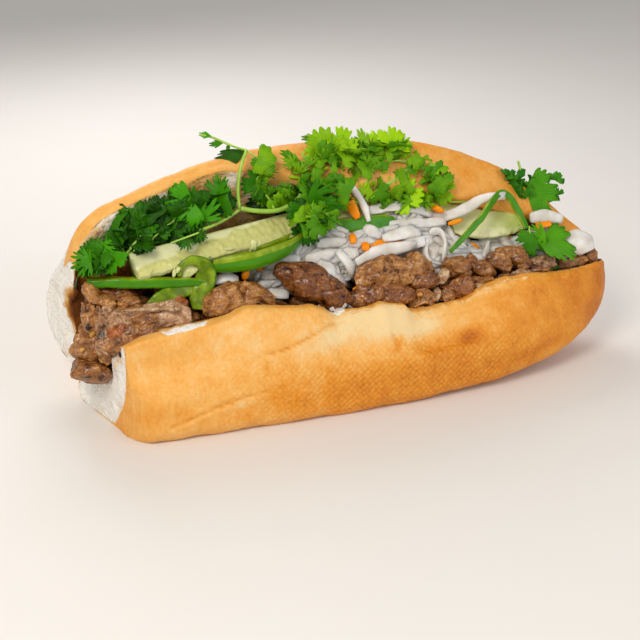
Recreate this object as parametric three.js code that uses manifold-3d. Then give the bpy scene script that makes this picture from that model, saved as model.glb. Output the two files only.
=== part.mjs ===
// Banh mi sandwich: a crusty roll, cut across at one end and split along its length, opened
// upwards and filled with grilled pork, pickled daikon and carrot, cucumber, green chilli and
// coriander. Millimetres, +Z up. Every piece is placed in the roll's own frame: X runs along
// the roll from the foot of its crosswise cut towards its rounded end, Y is the depth from
// the side that the split opens towards, and the lower crust rests flat at Z = 0. The whole
// is then shifted so that its origin is the bottom centre of its box.

import * as THREE from "three";
import Module from "manifold-3d";
import { mergeVertices } from "three/addons/utils/BufferGeometryUtils.js";

const wasm = await Module();
wasm.setup();

// ---- Driving dimensions -------------------------------------------------------------------

const GAP = 0.35; // air left between neighbouring pieces
const CUT_X = -6.6; // where the crosswise cut meets the front of the roll
const TIP_X = 220.5; // rounded end of the roll
const CUT_SKEW = 0.36; // how far the cut slants towards -X for each mm of depth
const SKEW_FADES_X = 54; // the slant has died out by here
const CREST_X = 88; // highest point of the upper half
const CREST_Z = 100;
const CREST_Y = 59; // depth of the crest where the roll isn't gaping
const LEFT_DROP = 22; // how much lower the crest is at the cut end
const END_DROP = 12; // and its extra rounding right at the cut
const RIGHT_FALL = 0.0015; // the crest falls by this times the squared distance to the right
const DOME_LENGTH = 130; // length over which the roll narrows to its rounded end
const DOME_Y = 41; // depth and height of the point that the end closes towards
const DOME_Z = 36;
const LIP_END_Z = 40; // height of the front lip at the cut
const LIP_Z = 46; // and from there on

// ---- Small helpers ------------------------------------------------------------------------

const { clamp, lerp: mix, smoothstep } = THREE.MathUtils;
const degrees = THREE.MathUtils.degToRad;
const bump = (x, centre, width) => Math.exp(-(((x - centre) / width) ** 2));
const vector = (p) => new THREE.Vector3(...p);

/** A repeatable wobble between -1 and 1 that varies smoothly over the unit sphere. */
function wobble(v, seed) {
  const [a, b, c] = [v.x * 2.3 + seed, v.y * 2.9 + seed * 1.7, v.z * 2.6 + seed * 2.3];
  const waves = [Math.sin(a + Math.sin(b * 1.3)), Math.sin(b + Math.sin(c * 1.2)), Math.sin(c + a * 0.7)];
  return (waves[0] + waves[1] + waves[2]) / 3;
}

/** A copy of a geometry with only its positions, and its shared corners merged. */
function welded(geometry) {
  const bare = geometry.clone();
  bare.deleteAttribute("normal");
  bare.deleteAttribute("uv");
  return mergeVertices(bare, 1e-3);
}

/** Turns a closed skin's faces round if they point inwards. */
function facingOut(geometry) {
  const [position, index] = [geometry.attributes.position, geometry.index.array];
  const [a, b, c] = [new THREE.Vector3(), new THREE.Vector3(), new THREE.Vector3()];
  let volume = 0;
  for (let i = 0; i < index.length; i += 3) {
    a.fromBufferAttribute(position, index[i]);
    b.fromBufferAttribute(position, index[i + 1]);
    c.fromBufferAttribute(position, index[i + 2]);
    volume += a.dot(b.cross(c));
  }
  if (volume > 0) return geometry;
  for (let i = 0; i < index.length; i += 3) [index[i], index[i + 2]] = [index[i + 2], index[i]];
  return geometry;
}

/** A closed geometry as a manifold-3d solid. */
function solidOf(geometry) {
  const closed = facingOut(welded(geometry));
  return new wasm.Manifold(
    new wasm.Mesh({
      numProp: 3,
      vertProperties: new Float32Array(closed.attributes.position.array),
      triVerts: new Uint32Array(closed.index.array),
    }),
  );
}

/** The largest body of a manifold-3d solid, as the geometry of a mesh. */
function geometryOf(solid) {
  const largest = solid.decompose().sort((a, b) => b.volume() - a.volume())[0];
  const { vertProperties, triVerts } = largest.getMesh();
  const geometry = new THREE.BufferGeometry();
  geometry.setAttribute("position", new THREE.Float32BufferAttribute(vertProperties, 3));
  geometry.setIndex(new THREE.BufferAttribute(new Uint32Array(triVerts), 1));
  geometry.computeVertexNormals();
  return geometry;
}

/** Solids joined into one. */
const joined = (solids) => solids.reduce((sum, solid) => sum.add(solid));

/** Joins rings of points into one closed skin. An end whose outline isn't convex gets its
 *  cap from the outline seen along X. */
function loft(rings, convex = true) {
  const count = rings[0].length;
  const position = rings.flat().flatMap((p) => [p.x, p.y, p.z]);
  const index = [];
  for (let i = 0; i < rings.length - 1; i++)
    for (let j = 0; j < count; j++) {
      const [a, b] = [i * count + j, i * count + ((j + 1) % count)];
      index.push(a, b, a + count, b, b + count, a + count);
    }
  const flat = rings[0].map((p) => new THREE.Vector2(p.y, p.z));
  const turnsLeft = THREE.ShapeUtils.area(flat) > 0;
  const fan = Array.from({ length: count - 2 }, (_, k) => [0, k + 1, k + 2]);
  for (const [start, isLast] of [[0, false], [count * (rings.length - 1), true]]) {
    const outline = rings[start / count].map((p) => new THREE.Vector2(p.y, p.z));
    for (const cap of convex ? fan : THREE.ShapeUtils.triangulateShape(outline, [])) {
      const corners = cap.map((k) => start + k);
      const capTurnsLeft = convex || THREE.ShapeUtils.area(cap.map((k) => outline[k])) > 0 === turnsLeft;
      index.push(...(capTurnsLeft === isLast ? corners : corners.reverse()));
    }
  }
  const geometry = new THREE.BufferGeometry();
  geometry.setAttribute("position", new THREE.Float32BufferAttribute(position, 3));
  geometry.setIndex(index);
  return solidOf(geometry);
}

/** Moves each point of a closed outline outwards by a distance. */
function grown(outline, distance) {
  const side = THREE.ShapeUtils.area(outline) > 0 ? 1 : -1;
  return outline.map((p, i) => {
    const before = outline[(i + outline.length - 1) % outline.length];
    const after = outline[(i + 1) % outline.length];
    const along = after.clone().sub(before).normalize().multiplyScalar(distance * side);
    return new THREE.Vector2(p.x + along.y, p.y - along.x);
  });
}

// ---- The roll -----------------------------------------------------------------------------

/** 1 at the cut end, where the upper half leans forward, and 0 from the middle on. */
const gapeAt = (x) => 1 - smoothstep(x, CUT_X, 64);

/** 1 at the cut, where the knife has drawn the front crust in, and 0 just after it. */
const pinchAt = (x) => 1 - smoothstep(x, CUT_X, 5);

/** Height of the upper half's crest. */
function crestAt(x) {
  if (x > CREST_X) return CREST_Z - RIGHT_FALL * (x - CREST_X) ** 2;
  const fall = LEFT_DROP * ((CREST_X - x) / (CREST_X - CUT_X)) ** 2.4;
  return CREST_Z - fall - END_DROP * (1 - smoothstep(x, CUT_X, -0.6));
}

/** Height of the front lip, which has torn dips in it. */
function lipAt(x) {
  const level = mix(LIP_END_Z, LIP_Z, smoothstep(x, CUT_X, 40)) + 2 * smoothstep(x, 141, 160);
  const tears = 7.5 * bump(x, 89.5, 7) + 8 * bump(x, 122, 14) + 3 * bump(x, 139, 10);
  return level + 4 * bump(x, 42, 12) - tears;
}

/** Scale of the cross-section where the roll closes at its rounded end. */
function domeAt(x) {
  const along = clamp((x - TIP_X + DOME_LENGTH) / DOME_LENGTH, 0, 0.9999);
  return (1 - along ** 2.7) ** 0.4;
}

/** Corners of the cross-section at x, from the front lip under the roll and over the upper
 *  half to the bottom of the split, as [depth, height]. */
function rollCorners(x) {
  const [gape, pinch, crest, lip] = [gapeAt(x), pinchAt(x), crestAt(x), lipAt(x)];
  const crestDepth = CREST_Y - 14 * gape;
  const curl = mix(5, 15, smoothstep(x, 25, 95)); // how far the crust curls forward
  const drop = mix(3, 17, smoothstep(x, 35, 130)); // and down, to the cut edge
  return [
    [9.5 - 5.5 * gape, lip], // front lip
    [5.5 - 2 * gape, lip - 3.5],
    [3 * gape, lip - 14],
    [-3.6 + 6.6 * pinch, 22],
    [-5 + 8 * pinch, 11],
    [-4.6 + 8.2 * pinch, 4.5],
    [-2 + 8 * pinch, 0.9],
    [4 + 6 * pinch, -0.9], // flat of the lower crust
    [16, -1.2],
    [30, -1.2],
    [44 - 4 * gape, -0.6],
    [54 - 8 * gape, 3 + gape],
    [60 - 15 * gape, 10 + 3 * gape], // fold that joins the halves
    [66 - 6 * gape, 14 + 4 * gape],
    [72 - 4 * gape, 27],
    [74 - 6 * gape, 44 - 5 * gape],
    [73.5 - 9 * gape, crest * 0.73],
    [69 - 17 * gape, crest * 0.91],
    [crestDepth, crest],
    [crestDepth - 0.62 * curl, crest - 0.4 * drop],
    [crestDepth - curl, crest - drop], // cut edge of the upper half
    [crestDepth - curl + 3.5 - 3 * gape, crest * 0.72],
    [51 - 9 * gape, 45],
    [46 - 5 * gape, 28],
    [34, 18.5], // bottom of the split
    [22, 19.5],
    [16.8, lip * 0.62],
    [15, lip - 1.6],
  ];
}

/** Cross-section of the roll at x as depth and height, with a point at each corner and
 *  another halfway along each of the longer spans. */
function rollOutline(x, grow = 0) {
  const corners = rollCorners(x);
  const curve = new THREE.CatmullRomCurve3(corners.map(([y, z]) => vector([y, z, 0])), true);
  const longSpans = new Set([2, 10, 11, 14, 15, 16, 17, 20, 21, 22, 23, 24]);
  const points = corners.flatMap((_, i) => {
    const halves = longSpans.has(i) ? [0, 0.5] : [0];
    return halves.map((half) => curve.getPoint((i + half) / corners.length));
  });
  const scale = domeAt(x);
  const around = (value, centre) => centre + (value - centre) * scale;
  const outline = points.map((p) => new THREE.Vector2(around(p.x, DOME_Y), around(p.y, DOME_Z)));
  return grow ? grown(outline, grow) : outline;
}

/** Where a point of the cross-section at x stands: the cut end slants, and the upper half
 *  stops short of the lower one at the rounded end. */
function rollPoint(x, depth, z) {
  const slant = CUT_SKEW * (depth - 3) * (1 - smoothstep(x, CUT_X, SKEW_FADES_X));
  const short = smoothstep(x, 180, 216) * (0.5 * Math.max(0, depth - DOME_Y) + 0.1 * Math.max(0, z - 45));
  return new THREE.Vector3(x - slant - short, depth, z);
}

/** Where the roll's cross-sections stand: closer together where it rounds off. */
function rollStations() {
  const [nearCut, along, round, start] = [2, 14, 9, 155];
  const reach = (TIP_X - start) * 0.997; // the last section is small but not a point
  const stations = [];
  for (let i = 0; i < nearCut; i++) stations.push(mix(CUT_X, 6, i / nearCut));
  for (let i = 0; i < along; i++) stations.push(mix(6, start, i / along));
  for (let i = 0; i <= round; i++)
    stations.push(start + reach * Math.sin((i / round) * degrees(90)));
  return stations;
}

/** The roll; grow makes it fatter all round and longer at both ends. */
function roll(grow = 0) {
  const stations = rollStations();
  const rings = stations.map((x, i) => {
    const end = i === 0 ? -grow : i === stations.length - 1 ? grow : 0;
    return rollOutline(x, grow).map((p) => {
      const point = rollPoint(x, p.x, p.y);
      point.x += end;
      return point;
    });
  });
  return loft(rings, false);
}

/** Everything above the surface that the roll rests on. */
const aboveTable = solidOf(new THREE.BoxGeometry(400, 200, 200).translate(100, 30, 100));

// ---- Lumps, ribbons and spears ------------------------------------------------------------

/** A lump: a ball squared off, stretched to size, dented by a wobble, turned and placed. */
function lump(shape, grow = 0) {
  const { at, size, turn = [0, 0, 0], seed = 1, rough = 0.16, square = 0.75, detail = 1 } = shape;
  const ball = welded(new THREE.IcosahedronGeometry(1, detail));
  const [position, v] = [ball.attributes.position, new THREE.Vector3()];
  const soften = (c) => Math.sign(c) * Math.abs(c) ** square;
  for (let i = 0; i < position.count; i++) {
    v.fromBufferAttribute(position, i).normalize();
    const radius = (1 + rough * wobble(v, seed)) / 2;
    v.set(soften(v.x) * size[0], soften(v.y) * size[1], soften(v.z) * size[2]).multiplyScalar(radius);
    position.setXYZ(i, v.x, v.y, v.z);
  }
  ball.computeVertexNormals();
  for (let i = 0; i < position.count; i++) {
    v.fromBufferAttribute(ball.attributes.normal, i).multiplyScalar(grow);
    position.setXYZ(i, position.getX(i) + v.x, position.getY(i) + v.y, position.getZ(i) + v.z);
  }
  const place = new THREE.Matrix4().makeRotationFromEuler(new THREE.Euler(...turn.map(degrees)));
  return solidOf(ball.applyMatrix4(place.setPosition(...at)));
}

/** A ribbon along a curve: a six-sided section, wide along `across` and thinner the other
 *  way, that narrows towards both ends. */
function ribbon(shape, grow = 0) {
  const { path, across, width, thickness, taper = 0.4, steps = 9 } = shape;
  const curve = new THREE.CatmullRomCurve3(path.map(vector));
  const rings = [];
  for (let i = 0; i <= steps; i++) {
    const t = i / steps;
    const along = curve.getTangent(t);
    const out = new THREE.Vector3().crossVectors(along, vector(across)).normalize();
    const wide = new THREE.Vector3().crossVectors(out, along).normalize();
    const narrow = mix(taper, 1, Math.sin(t * Math.PI) ** 0.6);
    const [w, h] = [(width * narrow) / 2 + grow, thickness / 2 + grow];
    const end = i === 0 ? -grow : i === steps ? grow : 0;
    const centre = curve.getPoint(t).addScaledVector(along, end);
    const section = [[-w, 0], [-w * 0.8, -h], [w * 0.8, -h], [w, 0], [w * 0.8, h], [-w * 0.8, h]];
    rings.push(section.map(([a, b]) => centre.clone().addScaledVector(wide, a).addScaledVector(out, b)));
  }
  return loft(rings);
}

/** A lengthwise spear of cucumber: a flat of cut flesh above a rounded back of skin. */
function spear({ from, to, width, height, roll: tilt }, grow = 0) {
  const along = vector(to).sub(vector(from)).normalize();
  const level = new THREE.Vector3(0, Math.cos(degrees(tilt)), Math.sin(degrees(tilt)));
  const up = new THREE.Vector3().crossVectors(along, level).normalize();
  const wide = new THREE.Vector3().crossVectors(up, along).normalize();
  const [w, h] = [width / 2 + grow, height + grow];
  const section = [[-w, grow], [w, grow], [w, -0.35 * h], [w * 0.72, -0.8 * h], [w * 0.3, -h],
    [-w * 0.3, -h], [-w * 0.72, -0.8 * h], [-w, -0.35 * h]];
  const ends = [vector(from).addScaledVector(along, -grow), vector(to).addScaledVector(along, grow)];
  const rings = [0, 1 / 3, 2 / 3, 1].map((t) => {
    const centre = ends[0].clone().lerp(ends[1], t);
    return section.map(([a, b]) => centre.clone().addScaledVector(wide, a).addScaledVector(up, b));
  });
  return loft(rings);
}

// ---- Grilled pork -------------------------------------------------------------------------

// Each slice or chunk that shows: middle, size, turns about X, Y and Z.
const PORK = {
  pork_end_low: { at: [-17.6, 27, 22.2], size: [10, 21, 5.4], turn: [-5, 0, 12], seed: 1.2 },
  pork_end_heel: { at: [-13.4, 29.5, 32.5], size: [11, 19, 11], turn: [-8, 10, 8], seed: 2.4, rough: 0.22 },
  pork_end_slab: { at: [-5.6, 20.6, 38], size: [8, 8, 22], turn: [0, -8, 12], seed: 3.1 },
  pork_end_curl: { at: [-8, 30.4, 50.5], size: [18, 13, 8], turn: [-18, 22, 10], seed: 4.4 },
  pork_slice_a: { at: [9.4, 21, 46.4], size: [33, 12, 15], turn: [-32, -3, 4], seed: 5.3, square: 0.6 },
  pork_chunk_b: { at: [43.5, 22, 49.4], size: [34, 14, 13], turn: [-22, 6, 4], seed: 6.2, detail: 2 },
  pork_chunk_c: { at: [77.5, 21, 51], size: [33, 14, 14], turn: [-20, 20, 0], seed: 7.7, detail: 2 },
  pork_slice_d: { at: [114.5, 26, 51.8], size: [35, 15, 12], turn: [-30, -4, 6], seed: 8.1, detail: 2 },
  pork_slice_e: { at: [103.6, 19.4, 43.8], size: [29, 11, 9], turn: [-14, -12, 0], seed: 9.9 },
  pork_chunk_f: { at: [128.6, 19.2, 45.8], size: [19, 11, 10], turn: [-10, 8, 8], seed: 10.6 },
  pork_chunk_g: { at: [139.8, 27, 50.8], size: [15, 11, 11], turn: [-24, 0, 20], seed: 11.5 },
  pork_chunk_h: { at: [146, 20.4, 43.8], size: [14, 10, 9], turn: [0, -14, 4], seed: 12.8, rough: 0.24 },
  pork_chunk_i: { at: [154.6, 26.4, 49], size: [13, 10, 9], turn: [-18, -10, 0], seed: 13.4 },
  pork_chunk_j: { at: [167, 27.8, 51.4], size: [15, 12, 11], turn: [-26, 12, 0], seed: 14.9, rough: 0.24 },
  pork_chunk_k: { at: [182, 27.6, 48], size: [14, 11, 9], turn: [-12, 0, 10], seed: 15.3, rough: 0.24 },
  pork_chunk_l: { at: [197, 31.5, 46.4], size: [13, 9, 8], turn: [0, -8, 16], seed: 16.7 },
};

/** The pork that runs the length of the split under the other fillings. */
function porkBed(grow = 0) {
  const rings = [];
  const [from, to, steps] = [-10, 202, 18];
  for (let i = 0; i <= steps; i++) {
    const x = mix(from, to, i / steps);
    const end = i === 0 ? -grow : i === steps ? grow : 0;
    const gape = gapeAt(x);
    const swell = 1.4 * Math.sin(x * 0.19) + Math.sin(x * 0.43 + 2) + 6 * (1 - smoothstep(x, 20, 60));
    const corners = [[24, 21.5], [19.4, 26], [17.6, lipAt(x) - 5], [24, 39 + 0.3 * swell],
      [32, 41 + 0.7 * swell], [40 - 3 * gape, 42 + swell], [44 - 6 * gape, 38 + swell],
      [42 - 5 * gape, 29], [33, 21]];
    const scale = domeAt(x);
    const outline = corners.map(
      ([y, z]) => new THREE.Vector2(DOME_Y + (y - DOME_Y) * scale, DOME_Z + (z - DOME_Z) * scale),
    );
    rings.push(grown(outline, grow).map((p) => new THREE.Vector3(x + end, p.x, p.y)));
  }
  return loft(rings, false);
}

// ---- Vegetables ---------------------------------------------------------------------------

const SPEARS = {
  cucumber_spear: { from: [2.5, 29, 65.6], to: [75.5, 40, 71.4], width: 12, height: 8.5, roll: 33 },
  cucumber_spear_far: { from: [84, 43.2, 74.2], to: [151, 46.5, 69], width: 8.5, height: 6.5, roll: 30 },
};

const CUCUMBER_WEDGE = {
  at: [164.6, 43.4, 58.7], size: [37, 8.5, 15], turn: [-34, -8, -4], seed: 21, rough: 0.1, square: 0.8,
};

const RIBBONS = {
  chilli_slice_low: {
    path: [[-15.5, 32, 59], [-3, 28.6, 58.6], [12, 26.4, 57.6], [30, 25.4, 54.8]],
    across: [0, 0.5, 0.86], width: 6, thickness: 7, taper: 0.5,
  },
  chilli_half_ring: {
    path: [[33.5, 26.5, 63], [48, 24.6, 62.2], [62, 27, 65], [74.5, 33.5, 70]],
    across: [0, 0.3, 0.95], width: 9, thickness: 4.5,
  },
  chilli_strip_right: {
    path: [[138.6, 26, 55], [154.6, 32.6, 65], [169, 41, 72.8], [174.6, 36, 66.4], [178, 32.6, 58.6]],
    across: [0.2, 0.5, 0.84], width: 4, thickness: 3, steps: 14,
  },
  chilli_strip_mid: {
    path: [[88, 38.6, 68.4], [106, 38.2, 67.6], [124, 41.4, 65]],
    across: [0, 0.4, 0.92], width: 6, thickness: 3, taper: 0.25,
  },
};

/** The curled slice of chilli: an arch with one end hanging and one lying to the left. */
const CURL = [
  {
    path: [[19, 27.6, 60], [25, 26.6, 64], [32.4, 25.6, 62],
      [33, 23.6, 55.6], [29, 21.4, 49.6], [26, 19.6, 45]],
    across: [0.3, 0.9, 0.3], width: 8, thickness: 3, taper: 0.6, steps: 10,
  },
  {
    path: [[7, 21.6, 54], [18, 22.6, 55.6], [30, 23.6, 57]],
    across: [0, 0.7, 0.7], width: 8, thickness: 3.2, taper: 0.5, steps: 6,
  },
];

const STRIPS = {
  daikon_strip_leaning: {
    path: [[98.6, 44.6, 83.4], [102.6, 40.4, 76.6], [104.4, 37, 69]],
    across: [0.9, 0.3, 0], width: 5, thickness: 3.4, taper: 0.6, steps: 5,
  },
  carrot_strip_leaning: {
    path: [[96, 41.4, 80], [98, 39.2, 76], [99, 36.6, 71.6]],
    across: [0.9, 0.3, 0], width: 4.4, thickness: 3, taper: 0.6, steps: 5,
  },
  carrot_strip_lying: {
    path: [[103.5, 32, 59.6], [112, 32.6, 58.6], [121.5, 34, 58.6]],
    across: [0, 0.5, 0.86], width: 4, thickness: 3.2, taper: 0.5, steps: 5,
  },
};

const DAIKON_END = { at: [204, 32, 51], size: [14, 8, 9], turn: [-20, 14, 24], seed: 26, rough: 0.12 };
const BREAD_SCRAP = { at: [91.6, 40.4, 84.8], size: [10, 5, 8], turn: [-20, 30, 0], seed: 27, rough: 0.24 };

/** The heap of pickled daikon and carrot shreds behind the pork, out to its uneven outline. */
function daikonHeap(grow = 0) {
  const rings = [];
  const [from, to, steps] = [54, 198, 12];
  for (let i = 0; i <= steps; i++) {
    const x = mix(from, to, i / steps);
    const end = i === 0 ? -grow : i === steps ? grow : 0;
    const swell = 1.5 * Math.sin(x * 0.31) + 1.2 * Math.sin(x * 0.57 + 1);
    const fall = 17 * smoothstep(x, 128, 156) + 12 * (1 - smoothstep(x, 50, 80));
    const corners = [[30, 46 - 0.25 * fall], [28, 53 - 0.4 * fall + 0.5 * swell],
      [33, 61 - 0.7 * fall + swell], [38.5, 67 - fall + swell], [43, 69 - fall], [45, 66 - fall],
      [45, 47 - 0.25 * fall]];
    const outline = corners.map(([y, z]) => new THREE.Vector2(y, z));
    rings.push(grown(outline, grow).map((p) => new THREE.Vector3(x + end, p.x, p.y)));
  }
  return loft(rings, false);
}

// Coriander: each bunch out to its uneven outline, a few overlapping tufts of leaves.
const CORIANDER = {
  coriander_left: [
    { at: [-12.6, 31.5, 67], size: [17, 11, 15], seed: 31 },
    { at: [1, 35.5, 74.5], size: [22, 10, 16], seed: 32 },
    { at: [19, 39.5, 80], size: [24, 8, 14], seed: 33 },
    { at: [37.6, 41.5, 82.4], size: [22, 7, 13], seed: 34 },
  ],
  coriander_middle: [
    { at: [68, 47, 87], size: [26, 8, 22], seed: 35 },
    { at: [79.8, 31.6, 77], size: [20, 5, 22], turn: [-14, 0, 0], seed: 36 },
    { at: [83, 40, 86], size: [20, 16, 9], turn: [16, 0, 0], seed: 43 },
    { at: [91, 48, 91], size: [24, 10, 26], seed: 37 },
    { at: [114, 49, 90], size: [32, 11, 28], seed: 38 },
    { at: [121, 43.6, 79.4], size: [26, 7, 12], seed: 44 },
    { at: [133, 44.6, 79], size: [22, 9, 15], seed: 39 },
  ],
  coriander_right: [
    { at: [181, 50, 73.6], size: [24, 9, 12], seed: 40 },
    { at: [196, 51, 69.5], size: [22, 10, 17], seed: 41 },
  ],
  coriander_leaf_front: [
    { at: [189, 30.4, 52.4], size: [29, 5, 15], turn: [-35, 0, 0], seed: 42, rough: 0.1 },
  ],
};

// ---- Fitting the pieces together ----------------------------------------------------------

const LOOKS = {
  bread: [0xe2a455, 0.62],
  pork: [0x8a5a3c, 0.4],
  daikon: [0xe6e4da, 0.35],
  carrot: [0xee7a14, 0.35],
  cucumber: [0xd4da8c, 0.35],
  chilli: [0x4c8a1c, 0.3],
  coriander: [0x3f8f1c, 0.5],
};

const sandwich = new THREE.Group();
const placed = []; // every solid so far, grown by the gap, which later ones keep clear of

/** Cuts a piece clear of everything placed so far and adds it as a mesh. `shape` makes the
 *  piece's solid, grown by the distance that it is given. */
function add(name, shape) {
  const [color, roughness] = LOOKS[name.split("_")[0]];
  const material = new THREE.MeshStandardMaterial({ color, roughness, metalness: 0 });
  const clear = placed.reduce((left, other) => left.subtract(other), shape(0));
  const mesh = new THREE.Mesh(geometryOf(clear), material);
  mesh.name = name;
  sandwich.add(mesh);
  placed.push(shape(GAP));
}

add("bread_roll", (grow) => (grow ? roll(grow) : roll().intersect(aboveTable)));
for (const [name, shape] of Object.entries(PORK)) add(name, (grow) => lump(shape, grow));
for (const [name, shape] of Object.entries(SPEARS)) add(name, (grow) => spear(shape, grow));
add("cucumber_wedge", (grow) => lump(CUCUMBER_WEDGE, grow));
for (const [name, shape] of Object.entries(RIBBONS)) add(name, (grow) => ribbon(shape, grow));
add("chilli_curl", (grow) => joined(CURL.map((shape) => ribbon(shape, grow))));
for (const [name, shape] of Object.entries(STRIPS)) add(name, (grow) => ribbon(shape, grow));
add("daikon_piece_end", (grow) => lump(DAIKON_END, grow));
add("bread_scrap", (grow) => lump(BREAD_SCRAP, grow));
add("pork_filling", porkBed);
add("daikon_heap", daikonHeap);
for (const [name, tufts] of Object.entries(CORIANDER))
  add(name, (grow) => joined(tufts.map((shape) => lump(shape, grow))));

const box = new THREE.Box3().setFromObject(sandwich);
const centre = box.getCenter(new THREE.Vector3());
sandwich.position.set(-centre.x, -centre.y, -box.min.z);

export default sandwich;
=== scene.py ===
"""The finish of a banh mi sandwich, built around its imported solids.

Shapes are worked out in millimetres in the roll's own frame: X runs along the roll from the
foot of its crosswise cut to its rounded end, Y is the depth from the open front to the back,
and Z is the height above the surface that it rests on.
"""

import logging
import math
from collections.abc import Callable
from dataclasses import dataclass, field, replace
from enum import Enum
from itertools import product

import bpy
import numpy as np
from mathutils import Euler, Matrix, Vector
from mathutils.bvhtree import BVHTree


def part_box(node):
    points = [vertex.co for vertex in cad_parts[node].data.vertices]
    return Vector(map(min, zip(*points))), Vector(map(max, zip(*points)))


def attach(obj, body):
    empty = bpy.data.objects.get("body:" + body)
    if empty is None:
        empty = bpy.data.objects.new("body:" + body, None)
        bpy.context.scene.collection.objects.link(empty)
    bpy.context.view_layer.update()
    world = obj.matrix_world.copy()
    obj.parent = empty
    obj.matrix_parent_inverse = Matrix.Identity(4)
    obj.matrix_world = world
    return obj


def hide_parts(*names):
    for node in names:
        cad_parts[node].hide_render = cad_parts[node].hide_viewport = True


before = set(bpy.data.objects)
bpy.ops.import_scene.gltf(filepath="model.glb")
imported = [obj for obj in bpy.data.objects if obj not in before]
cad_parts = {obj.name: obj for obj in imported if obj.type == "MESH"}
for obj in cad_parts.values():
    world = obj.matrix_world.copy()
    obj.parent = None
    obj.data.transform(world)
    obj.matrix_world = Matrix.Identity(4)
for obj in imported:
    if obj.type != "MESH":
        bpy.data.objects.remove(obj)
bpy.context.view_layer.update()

LOG = logging.getLogger("sandwich")
MM = 0.001
BODY = "root"
# Lowest corner of the roll's box in the roll's own frame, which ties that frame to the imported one.
ROLL_BOX_LOW = np.array([-30.27, -5.068, 0.0])
FRAME_SHIFT = np.array(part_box("bread_roll")[0]) / MM - ROLL_BOX_LOW

# How long the noise's random tables are, and the factors that turn a cell's place into a row.
TABLE_ROWS = 4096
CELL_FACTORS = np.array([73856093, 19349663, 83492791])
# How far apart the layers of noise are read, in cells.
LAYER_SHIFT = 17.3

Points = np.ndarray
Value = float | np.ndarray
Spot = tuple[float, float]
Place = tuple[float, float, float]
Stops = tuple[tuple[float, str], ...]
Thing = bpy.types.Object
Material = bpy.types.Material
Socket = bpy.types.NodeSocket


# ---- Numbers and noise --------------------------------------------------------------------


def to_metres(points: Points) -> Points:
    """Points of the roll's frame, in mm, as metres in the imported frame."""
    return (np.asarray(points, float) + FRAME_SHIFT) * MM


def to_mm(points: Points) -> Points:
    """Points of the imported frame, in metres, as mm in the roll's frame."""
    return np.asarray(points, float) / MM - FRAME_SHIFT


def ease(x: Value, start: Value, end: Value) -> Value:
    """0 before start, 1 after end and a smooth step between."""
    t = np.clip((x - start) / (end - start), 0, 1)
    return t * t * (3 - 2 * t)


def hump(x: Value, centre: float, width: float) -> Value:
    """A bell of height 1 about centre."""
    return np.exp(-(((x - centre) / width) ** 2))


def unit(vectors: Points) -> Points:
    """Vectors scaled to length 1."""
    length = np.linalg.norm(vectors, axis=-1, keepdims=True)
    return vectors / np.maximum(length, 1e-9)


def on_axis(x: Points) -> Points:
    """Places along X as points."""
    return np.stack([x, 0 * x, 0 * x], -1)


def table_row(cell: Points) -> Points:
    """The row of the random tables that belongs to each cell."""
    x, y, z = np.moveaxis(cell * CELL_FACTORS, -1, 0)
    return (x ^ y ^ z) & (TABLE_ROWS - 1)


def lattice_noise(points: Points, seed: int) -> Points:
    """Smooth noise between -1 and 1 whose cells are one unit across.

    Args:
        points: places to read it at, with their X, Y and Z on the last axis.
        seed: picks the pattern.

    Returns:
        One value per place.
    """
    table = np.random.default_rng(seed).uniform(-1, 1, TABLE_ROWS)
    cell = np.floor(points).astype(np.int64)
    t = points - cell
    t = t * t * (3 - 2 * t)
    total = np.zeros(points.shape[:-1])
    for corner in product((0, 1), repeat=3):
        share = np.prod(np.where(corner, t, 1 - t), axis=-1)
        total += table[table_row(cell + np.array(corner))] * share
    return total


def noise(points: Points, size: float, seed: int, octaves: int = 3) -> Points:
    """Layered noise whose largest dents are about `size` mm across.

    Args:
        points: places to read it at, in mm, with their X, Y and Z on the last axis.
        size: width of the largest dents in mm.
        seed: picks the pattern.
        octaves: layers, each half as wide and half as strong as the last.

    Returns:
        One value per place, about between -1 and 1.
    """
    scaled = np.asarray(points, float) / size
    total, strength = np.zeros(scaled.shape[:-1]), 1.0
    for layer in range(octaves):
        total += strength * lattice_noise(scaled * 2**layer + LAYER_SHIFT * layer, seed + layer)
        strength *= 0.5
    return total


def wobble(points: Points, size: float, seed: int) -> Points:
    """Noise with a pattern of its own for each axis, to shift points by."""
    return np.stack([noise(points, size, seed + axis, 2) for axis in range(3)], -1)


def cells(points: Points, seed: int) -> tuple[Points, Points]:
    """Distances from points to the nearest and the next nearest of scattered seeds.

    Args:
        points: places in a space where the seeds are about one unit apart.
        seed: picks the pattern.

    Returns:
        Both distances, for each point.
    """
    table = np.random.default_rng(seed).uniform(0, 1, (TABLE_ROWS, 3))
    home = np.floor(points).astype(np.int64)
    first = second = np.full(points.shape[:-1], np.inf)
    for step in product((-1, 0, 1), repeat=3):
        cell = home + np.array(step)
        gap = np.linalg.norm(cell + table[table_row(cell)] - points, axis=-1)
        second = np.minimum(second, np.maximum(first, gap))
        first = np.minimum(first, gap)
    return first, second


def spline(knots: Points, count: int) -> Points:
    """Points along a smooth curve through the knots.

    Args:
        knots: points that the curve goes through, one per row.
        count: how many points to return.

    Returns:
        The points, one per row, from the first knot to the last.
    """
    knots = np.asarray(knots, float)
    knots = np.vstack([2 * knots[0] - knots[1], knots, 2 * knots[-1] - knots[-2]])
    places = np.linspace(1, len(knots) - 2, count)
    places[-1] -= 1e-6
    return catmull_rom(knots[None], places)[0]


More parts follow.
